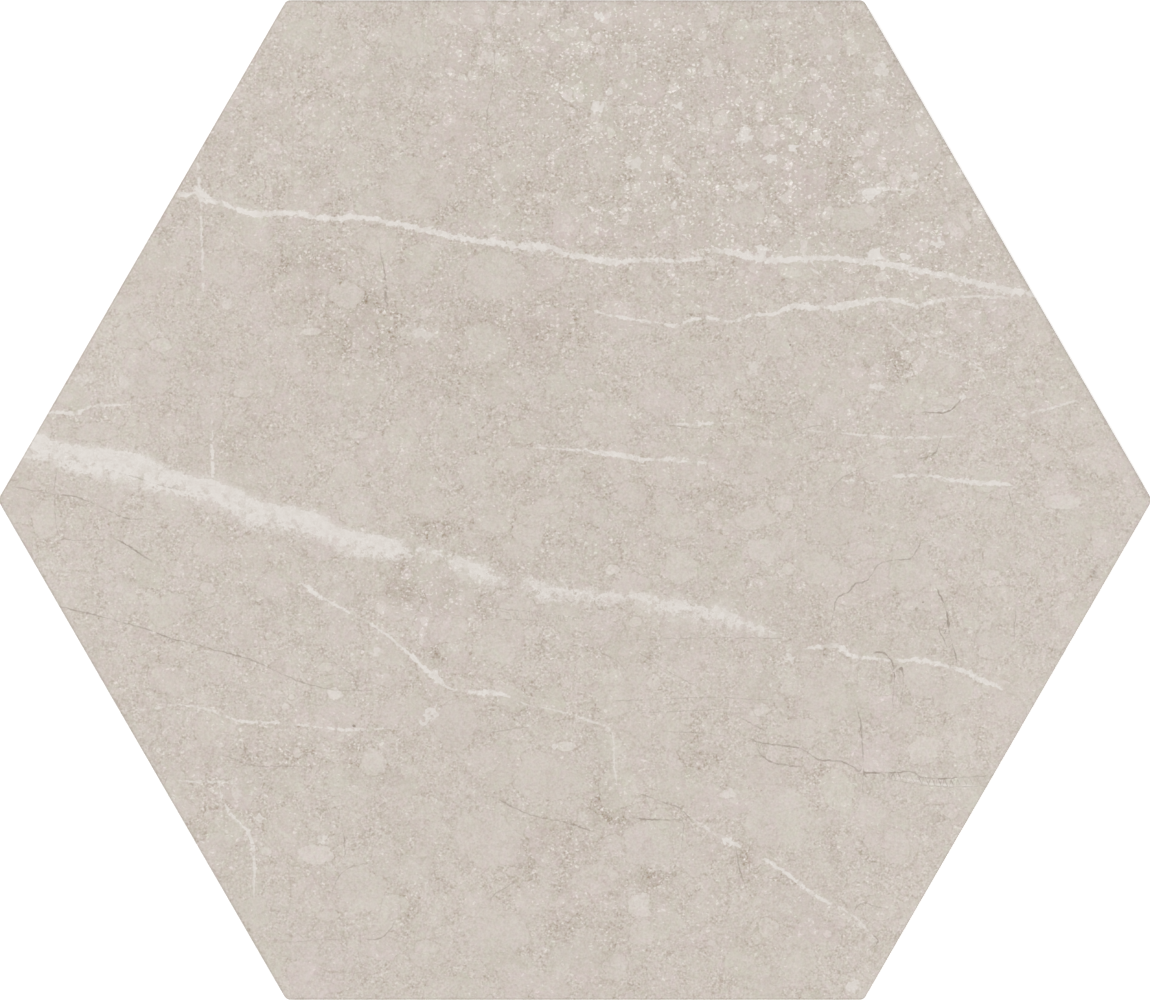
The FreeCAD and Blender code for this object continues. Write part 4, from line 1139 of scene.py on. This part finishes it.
class Limestone(Surface):
    """The glazed face: limestone with its veins, cracks, spots and grain.

    A tone is counted in the steps of a paint chart that has 256 greys, about the ground's own grey.
    """

    STEP = 0.0063
    STEP_TINT = (0.952, 1.001, 1.047)

    def __init__(self, colours):
        super().__init__("Limestone glaze")
        self.colours = colours
        s = self.sums
        bend = self.marked("bend", "Vector")
        fine_bend = self.vector("SUBTRACT", self.printed(1.2, 0.0, 0.5, seed=2.0, output="Color"), (0.5, 0.5, 0.5))
        self.peel = self.printed(1.2, 0.0, 0.5, seed=8.0)
        self.wide = s.split(bend)
        self.fine = s.split(fine_bend)
        shift = self.vector("ADD", self.scaled(bend, 10.0), self.scaled(fine_bend, 0.8))
        self.bent = self.vector("ADD", self.at, shift)
        self.frayed = self.vector("ADD", self.at, self.scaled(fine_bend, 0.9))
        self.mottle = self.printed(3.2, 3.0, 0.6, seed=13.0)
        self.crystals = self.printed(1.6, 2.0, 0.66, seed=3.0)
        self.line = line_group()

    def printed(self, *args, **settings):
        """Noise on the flat face."""
        return self.noise(*args, flat=True, **settings)

    def length_of(self, x, y):
        flat = self.sums.combine(x, y)
        return self.node("ShaderNodeVectorMath", {0: flat}, operation="LENGTH").outputs["Value"]

    def total(self, parts):
        whole = parts[0]
        for part in parts[1:]:
            whole = self.sums.add(whole, part)
        return whole

    def lines(self, name, softness, wander, ragged):
        """The cover of one family of lines, whose routes wander and whose edges are crystals."""
        s = self.sums
        across, off, half = self.mark(name)
        route = s.add(s.mul(self.wide[0], wander), s.mul(self.fine[0], 0.35))
        rough_half = s.mul(half, s.add(0.85, s.mul(s.sub(self.crystals, 0.52), ragged)))
        inputs = {"Across": across, "Off": off, "Half Width": rough_half, "Softness": softness, "Edge": route}
        return self.group(self.line, inputs)["Cover"], half

    def broad_vein(self):
        """The broad vein's cover: whole where it is wide, and broken into crystals where it is thin."""
        s = self.sums
        across, off, half = self.mark("broad_vein")
        low = s.ramp(s.div(across, s.most(half, 0.1)), 0.5, -0.7)
        broken = s.ramp(half, 2.4, 1.6, 0.0, 1.0)
        inside = s.sub(half, s.math("ABSOLUTE", s.add(across, s.mul(self.wide[0], 1.2))))
        rough = s.mul(s.sub(self.crystals, 0.5), s.add(s.add(2.2, s.mul(low, 3.0)), s.mul(broken, 3.5)))
        holes = s.mul(s.sub(self.mottle, 0.5), s.mul(broken, 6.0))
        depth = s.sub(s.add(s.add(inside, rough), holes), s.mul(broken, 0.3))
        near = s.ramp(s.sub(off, s.math("ABSOLUTE", across)), 0.7, 1.1, 1.0, 0.0)
        there = s.mul(near, s.ramp(half, 0.02, 0.3))
        cover = s.mul(s.ramp(depth, -0.15, 0.2), there)
        flecks = s.mul(s.ramp(self.mottle, 0.56, 0.575), s.add(0.34, s.mul(low, 0.5)))
        rings = s.mul(s.ramp(s.math("ABSOLUTE", s.sub(self.mottle, 0.53)), 0.022, 0.008), s.add(0.25, s.mul(low, 0.3)))
        bits = s.mul(s.ramp(self.crystals, 0.56, 0.62), s.add(0.12, s.mul(low, 0.3)))
        marbled = s.mul(s.ramp(self.crystals, 0.4, 0.6), 0.16)
        veil = s.mul(s.mul(s.ramp(depth, -1.6, -0.1), there), 0.3)
        gaps = s.most(s.most(flecks, rings), s.most(bits, marbled))
        return s.most(s.mul(cover, s.sub(1.0, gaps)), veil)

    def spots(self):
        """How pale and how dark the spots make each place."""
        s = self.sums
        x, y, distance = self.mark("spots")
        length, breadth, strength = self.mark("spots_kind")
        near = s.ramp(s.sub(distance, self.length_of(x, y)), 0.9, 1.4, 1.0, 0.0)
        shift = s.mul(s.ramp(length, 0.2, 1.4, 0.1, 1.0), 2.2)
        moved_x = s.div(s.add(x, s.mul(self.fine[0], shift)), length)
        moved_y = s.div(s.add(y, s.mul(self.fine[1], shift)), breadth)
        cover = s.mul(s.ramp(self.length_of(moved_x, moved_y), 0.85, 1.1, 1.0, 0.0), near)
        pale = s.mul(cover, s.most(strength, 0.0))
        dark = s.mul(cover, s.most(s.mul(strength, -1.0), 0.0))
        return pale, dark

    def clasts(self):
        """The lumps of older stone: where they are, how pale each one is, and their outlines."""
        s = self.sums
        x, y, distance = self.mark("clasts")
        length, breadth, strength = self.mark("clasts_kind")
        near = s.ramp(s.sub(distance, self.length_of(x, y)), 0.9, 1.4, 1.0, 0.0)
        wander = s.least(breadth, 3.0)
        moved_x = s.add(x, s.mul(s.add(s.mul(self.wide[0], 1.6), s.mul(self.fine[0], 0.35)), wander))
        moved_y = s.add(y, s.mul(s.add(s.mul(self.wide[1], 1.6), s.mul(self.fine[1], 0.35)), wander))
        share = self.length_of(s.div(moved_x, length), s.div(moved_y, breadth))
        share = s.add(share, s.mul(s.sub(self.mottle, 0.5), 0.6))
        inward = s.mul(s.sub(1.0, share), s.least(length, breadth))
        inside = s.mul(s.ramp(inward, -0.06, 0.1), near)
        outline = s.mul(s.ramp(s.math("ABSOLUTE", s.add(inward, 0.15)), 0.32, 0.08), near)
        return inside, strength, outline

    def pebbles(self, size, seed):
        """Rounded lumps of older stone: where they are, each one's own tone and tint, and their outlines."""
        s = self.sums
        moved = self.vector("ADD", self.bent, (seed * 53.0, seed * 29.0, 0.0))
        inputs = {"Vector": moved, "Scale": 1 / size, "Randomness": 0.9}
        cells = self.node("ShaderNodeTexVoronoi", inputs, voronoi_dimensions="2D")
        own, tint, reach = s.split(cells.outputs["Color"])
        inward = s.mul(s.sub(s.add(0.3, s.mul(reach, 0.22)), cells.outputs["Distance"]), size)
        inside = s.ramp(inward, -0.06, 0.1)
        outline = s.ramp(s.math("ABSOLUTE", s.add(inward, 0.12)), 0.28, 0.06)
        return inside, s.sub(own, 0.5), s.sub(tint, 0.5), outline

    def dust(self, spacing, share, seed):
        """Small pale specks of many sizes, a little longer along X than along Y, in some of the places for them."""
        s = self.sums
        drawn_out = self.vector("MULTIPLY", self.frayed, (0.7, 1.0, 1.0))
        moved = self.vector("ADD", drawn_out, (seed * 53.0, seed * 29.0, 0.0))
        cells = self.node("ShaderNodeTexVoronoi", {"Vector": moved, "Scale": 1 / spacing}, voronoi_dimensions="2D")
        own, size, _ = s.split(cells.outputs["Color"])
        reach = s.mul(s.ramp(s.sub(share, own), 0.0, 0.2, 0.55, 1.0), s.add(0.17, s.mul(size, 0.2)))
        speck = s.ramp(cells.outputs["Distance"], s.add(reach, 0.05), s.sub(reach, 0.05))
        return s.mul(speck, s.math("GREATER_THAN", share, own))

    def build(self):
        s = self.sums
        cloud = self.marked("cloud")
        shade = self.marked("shade")
        dusty = self.marked("dust")
        stony = s.ramp(cloud, 0.42, 0.52, 0.35, 1.0)
        lump, lump_tone, lump_tint, lump_outline = self.pebbles(11.0, 1.0)
        bit, bit_tone, bit_tint, bit_outline = self.pebbles(3.4, 2.0)
        lump = s.mul(lump, stony)
        clast, clast_tone, clast_outline = self.clasts()
        smooth = s.most(s.most(lump, s.mul(bit, 0.7)), clast)
        matrix = s.sub(1.0, smooth)
        calm = s.sub(1.0, s.mul(clast, 0.8))
        field = self.printed(6.0, 3.0, 0.68, seed=21.0)
        pale_patch = s.ramp(field, 0.56, 0.58)
        dark_patch = s.ramp(field, 0.46, 0.43)
        shade = s.mul(s.mul(shade, s.ramp(field, 0.6, 0.5, 0.7, 1.0)), s.add(0.32, s.mul(matrix, 0.68)))
        crowd = s.add(s.add(0.18, s.mul(dusty, 0.44)), s.mul(shade, 0.6))
        crowd = s.mul(crowd, s.ramp(self.mottle, 0.4, 0.56, 0.45, 1.0))
        drawn_out = self.vector("MULTIPLY", self.bent, (0.3, 1.0, 1.0))
        hair_field = self.printed(14.0, 1.0, 0.5, at=drawn_out, seed=31.0)
        hairs = s.mul(s.ramp(s.math("ABSOLUTE", s.sub(hair_field, 0.5)), 0.01, 0.003), s.ramp(self.mottle, 0.45, 0.5))
        rough = s.add(s.ramp(field, 0.4, 0.56, 1.1, 0.8), s.mul(shade, 0.35))
        rough = s.mul(rough, s.sub(1.1, s.mul(smooth, 0.62)))
        grain = self.group(grain_group(), {"At": self.at, "Grain": 0.46, "Coarse": 0.6, "Threads": 0.16})

        tone = self.total(
            (
                # The written tone holds the stone's slow changes and a painted light gradient across X.
                self.marked("tone"),
                s.mul(s.sub(self.mottle, 0.5), 8.0),
                s.mul(s.mul(grain["Tone"], 46.0), rough),
                s.mul(s.least(shade, 1.0), -15.0),
                s.mul(dusty, -2.0),
                s.mul(pale_patch, 1.8),
                s.mul(dark_patch, -2.4),
                s.mul(s.mul(lump, s.add(1.5, s.mul(lump_tone, 4.5))), calm),
                s.mul(s.mul(bit, s.add(1.0, s.mul(bit_tone, 5.0))), calm),
                s.mul(s.mul(bit, s.ramp(bit_tone, 0.26, 0.3)), s.mul(dusty, 12.0)),
                s.mul(s.mul(clast, s.add(clast_tone, 0.15)), 7.0),
                s.mul(s.mul(clast_outline, s.ramp(self.crystals, 0.4, 0.55, 0.25, 1.0)), -7.0),
                s.mul(s.mul(lump_outline, stony), -4.5),
                s.mul(s.mul(bit_outline, s.ramp(self.mottle, 0.45, 0.55)), -3.0),
                s.mul(hairs, -6.0),
                s.mul(s.mul(self.dust(0.85, crowd, 5.0), calm), s.add(14.5, s.mul(s.most(dusty, shade), 17.0))),
            )
        )
        step = self.vector("MULTIPLY", s.combine(tone, tone, tone), tuple(c * self.STEP for c in self.STEP_TINT))
        blush = self.total(
            (s.mul(self.fine[2], 0.03), s.mul(s.mul(lump_tint, lump), 0.02), s.mul(s.mul(bit_tint, bit), 0.02))
        )
        warmth = s.mul(s.add(self.fine[1], s.mul(self.wide[2], 0.6)), 0.014)
        tint = s.combine(s.add(s.mul(blush, 0.7), warmth), s.mul(blush, -0.5), s.sub(s.mul(blush, 0.7), warmth))
        tinted = self.vector("ADD", step, tint)
        ground = self.vector("ADD", tuple(self.colours.ground)[:3], tinted)

        broad = self.broad_vein()
        spot_pale, spot_dark = self.spots()
        thread, thread_half = self.lines("veins", 0.16, 1.0, 2.4)
        patchy = s.ramp(self.mottle, 0.36, 0.48, 0.5, 1.0)
        broken = s.most(s.ramp(self.mottle, 0.42, 0.5, 0.12, 1.0), s.ramp(thread_half, 0.4, 0.8, 0.0, 0.75))
        thread = s.mul(s.mul(thread, broken), s.ramp(thread_half, 0.1, 0.7, 0.55, 1.0))
        pale = s.most(s.most(broad, thread), spot_pale)
        crack, crack_half = self.lines("cracks", 0.1, 0.8, 2.5)
        crack = s.mul(s.mul(crack, patchy), s.ramp(crack_half, 0.08, 0.3, 0.4, 0.9))
        dark = s.most(s.mul(crack, s.sub(1.0, s.mul(broad, 0.6))), spot_dark)
        vein = self.vector("ADD", tuple(self.colours.vein)[:3], self.scaled(step, 0.35))
        stone = self.mixed(pale, ground, vein)
        stone = self.mixed(dark, stone, tuple(self.colours.crack))

        roughness = s.ramp(s.sub(self.mottle, s.mul(pale, 0.2)), 0.2, 0.8, 0.38, 0.5)
        return self.finish(stone, roughness, self.peel, 0.012 * MM)


def glazed_face(context):
    """The printed and glazed face, as far as the foot of its arris."""
    return Limestone(context.scene.tile_colours).build()


def porcelain_body(context):
    """The unglazed porcelain of the sides and the back, with the chalky wash that keeps it off the rollers."""
    colours = context.scene.tile_colours
    surface = Surface("Porcelain body")
    s = surface.sums
    grain = surface.group(
        bpy.data.node_groups["Fine grain"], {"At": surface.at, "Grain": 0.4, "Coarse": 1.0, "Threads": 0.0}
    )
    cloud = surface.noise(12.0, 3.0, 0.5, seed=4.0)
    smear = surface.noise(3.0, 4.0, 0.6, seed=5.0)
    height = s.split(surface.at)[2]
    on_rib = s.ramp(height, 0.05, 0.02)
    washed = s.mul(on_rib, s.ramp(s.add(s.mul(cloud, 0.6), s.mul(smear, 0.4)), 0.4, 0.58, 0.15, 0.85))
    tone = s.add(s.mul(grain["Tone"], 0.08), s.mul(s.sub(cloud, 0.5), 0.08))
    ground = surface.vector("ADD", tuple(colours.body)[:3], s.combine(tone, tone, tone))
    chalky = surface.mixed(washed, ground, tuple(colours.wash))
    lap = s.ramp(s.add(height, s.mul(s.sub(smear, 0.5), 1.2)), 7.3, 7.6)
    side = surface.mixed(s.mul(lap, 0.85), chalky, tuple(colours.ground))
    roughness = s.ramp(lap, 0.0, 1.0, 0.85, 0.5)
    return surface.finish(side, roughness, s.add(grain["Height"], s.mul(smear, 0.8)), 0.03 * MM, 0.4)


# Stage

class TILE_OT_stage(bpy.types.Operator):
    """Set the floor, the soft lamps, the sky and the camera straight above the tile"""

    bl_idname = "tile.set_stage"
    bl_label = "Set Stage"
    bl_options = {"REGISTER", "UNDO"}

    FLOOR_SIZE = 6.0
    FLOOR_GAP = 0.05 * MM
    FLOOR_LAP = 1 * MM
    LAMP_DISTANCE = 1.6
    LAMP_SIZE = 1.4
    SENSOR = 36.0

    def execute(self, context):
        studio = context.scene.tile_studio
        self.floor(context)
        self.sky(context, 1 - studio.lamp_share)
        self.lamps(context, studio.lamp_share)
        self.camera(context, studio)
        context.scene.view_settings.view_transform = "Standard"
        return {"FINISHED"}

    def floor(self, context):
        """A pale floor, white to the camera from above and clear from below, and open under the tile.

        The opening is a little smaller than the tile. It lets the sky reach the back for views from below.
        """
        opening = NODE_HIGH.x - self.FLOOR_LAP
        corners = [
            (radius * math.cos(2 * HALF_SECTOR * number), radius * math.sin(2 * HALF_SECTOR * number), -self.FLOOR_GAP)
            for radius in (opening, self.FLOOR_SIZE / 2)
            for number in range(SIDES)
        ]
        following = [(number + 1) % SIDES for number in range(SIDES)]
        panels = [(here, SIDES + here, SIDES + there, there) for here, there in enumerate(following)]
        mesh = bpy.data.meshes.new("studio_floor")
        mesh.from_pydata(corners, [], panels)
        floor = bpy.data.objects.new("studio_floor", mesh)
        context.scene.collection.objects.link(floor)
        material = bpy.data.materials.new("Studio floor")
        material.use_nodes = True
        tree = material.node_tree
        tree.nodes.clear()
        diffuse = place(tree, "ShaderNodeBsdfDiffuse", {"Color": (0.8, 0.8, 0.8, 1)})
        path = tree.nodes.new("ShaderNodeLightPath").outputs
        s = Sums(tree)
        seen = s.most(s.most(path["Is Camera Ray"], path["Is Glossy Ray"]), path["Is Transmission Ray"])
        glow = place(tree, "ShaderNodeEmission", {"Color": (1, 1, 1, 1), "Strength": s.mul(seen, 0.5)})
        both = place(tree, "ShaderNodeAddShader", {0: diffuse.outputs[0], 1: glow.outputs[0]})
        from_below = tree.nodes.new("ShaderNodeNewGeometry").outputs["Backfacing"]
        clear = place(tree, "ShaderNodeBsdfTransparent")
        passing = s.most(from_below, path["Is Shadow Ray"])
        surface = place(tree, "ShaderNodeMixShader", {0: passing, 1: both.outputs[0], 2: clear.outputs[0]})
        place(tree, "ShaderNodeOutputMaterial", {"Surface": surface.outputs[0]})
        mesh.materials.append(material)

    def sky(self, context, strength):
        """An even sky that lights the object, and is white where a ray sees it."""
        world = bpy.data.worlds.new("Studio sky")
        context.scene.world = world
        world.use_nodes = True
        tree = world.node_tree
        tree.nodes.clear()
        s = Sums(tree)
        path = tree.nodes.new("ShaderNodeLightPath").outputs
        seen = s.most(s.most(path["Is Camera Ray"], path["Is Glossy Ray"]), path["Is Transmission Ray"])
        level = s.add(s.mul(seen, 1 - strength), strength)
        sky = place(tree, "ShaderNodeBackground", {"Color": (1, 1, 1, 1), "Strength": level})
        place(tree, "ShaderNodeOutputWorld", {"Surface": sky.outputs[0]})

    def lamps(self, context, share):
        """Two broad lamps above the tile, the nearer to a corner being the stronger."""
        for name, bearing, tilt, part in (("key", 140, 32, 0.54), ("fill", -50, 38, 0.46)):
            lamp = bpy.data.lights.new(f"{name}_lamp", "AREA")
            lamp.shape = "DISK"
            lamp.size = self.LAMP_SIZE
            place_on = bpy.data.objects.new(f"{name}_lamp", lamp)
            context.scene.collection.objects.link(place_on)
            lean = math.radians(tilt)
            turn = math.radians(bearing)
            direction = Vector(
                (math.sin(lean) * math.cos(turn), math.sin(lean) * math.sin(turn), math.cos(lean))
            )
            place_on.location = direction * self.LAMP_DISTANCE
            place_on.rotation_euler = direction.to_track_quat("Z", "Y").to_euler()
            radius = self.LAMP_SIZE / 2
            spread = radius**2 / (radius**2 + self.LAMP_DISTANCE**2)
            lamp.energy = share * part * math.pi**2 * radius**2 / (spread * math.cos(lean))

    def camera(self, context, studio):
        """A long lens straight above the middle of the face."""
        data = bpy.data.cameras.new("straight_above")
        data.lens = studio.lens
        data.sensor_width = self.SENSOR
        camera = bpy.data.objects.new("straight_above", data)
        context.scene.collection.objects.link(camera)
        distance = studio.framed_width * data.lens / data.sensor_width
        camera.location = (0, 0, NODE_HIGH.z + distance)
        data.clip_end = 2 * distance
        context.scene.camera = camera


class TILE_PT_panel(bpy.types.Panel):
    """The tile's operators and their settings"""

    bl_label = "Hexagon Floor Tile"
    bl_space_type = "VIEW_3D"
    bl_region_type = "UI"
    bl_category = "Tile"

    def draw(self, context):
        layout = self.layout
        for title, group, operator in (
            ("Tile", context.scene.tile_sizes, TILE_OT_press),
            ("Colours", context.scene.tile_colours, TILE_OT_press),
            ("Stage", context.scene.tile_studio, TILE_OT_stage),
        ):
            box = layout.box()
            box.label(text=title)
            for name in group.__annotations__:
                box.prop(group, name)
            box.operator(operator.bl_idname)


CLASSES = (TileSizes, StoneColours, StudioSettings, TILE_OT_press, TILE_OT_stage, TILE_PT_panel)
SETTINGS = {"tile_sizes": TileSizes, "tile_colours": StoneColours, "tile_studio": StudioSettings}


def register():
    for cls in CLASSES:
        bpy.utils.register_class(cls)
    for name, cls in SETTINGS.items():
        setattr(bpy.types.Scene, name, bpy.props.PointerProperty(type=cls))


def unregister():
    for name in SETTINGS:
        delattr(bpy.types.Scene, name)
    for cls in reversed(CLASSES):
        bpy.utils.unregister_class(cls)


def main():
    register()
    bpy.ops.tile.set_stage()
    bpy.ops.tile.press_hexagon()


if __name__ == "__main__":
    main()
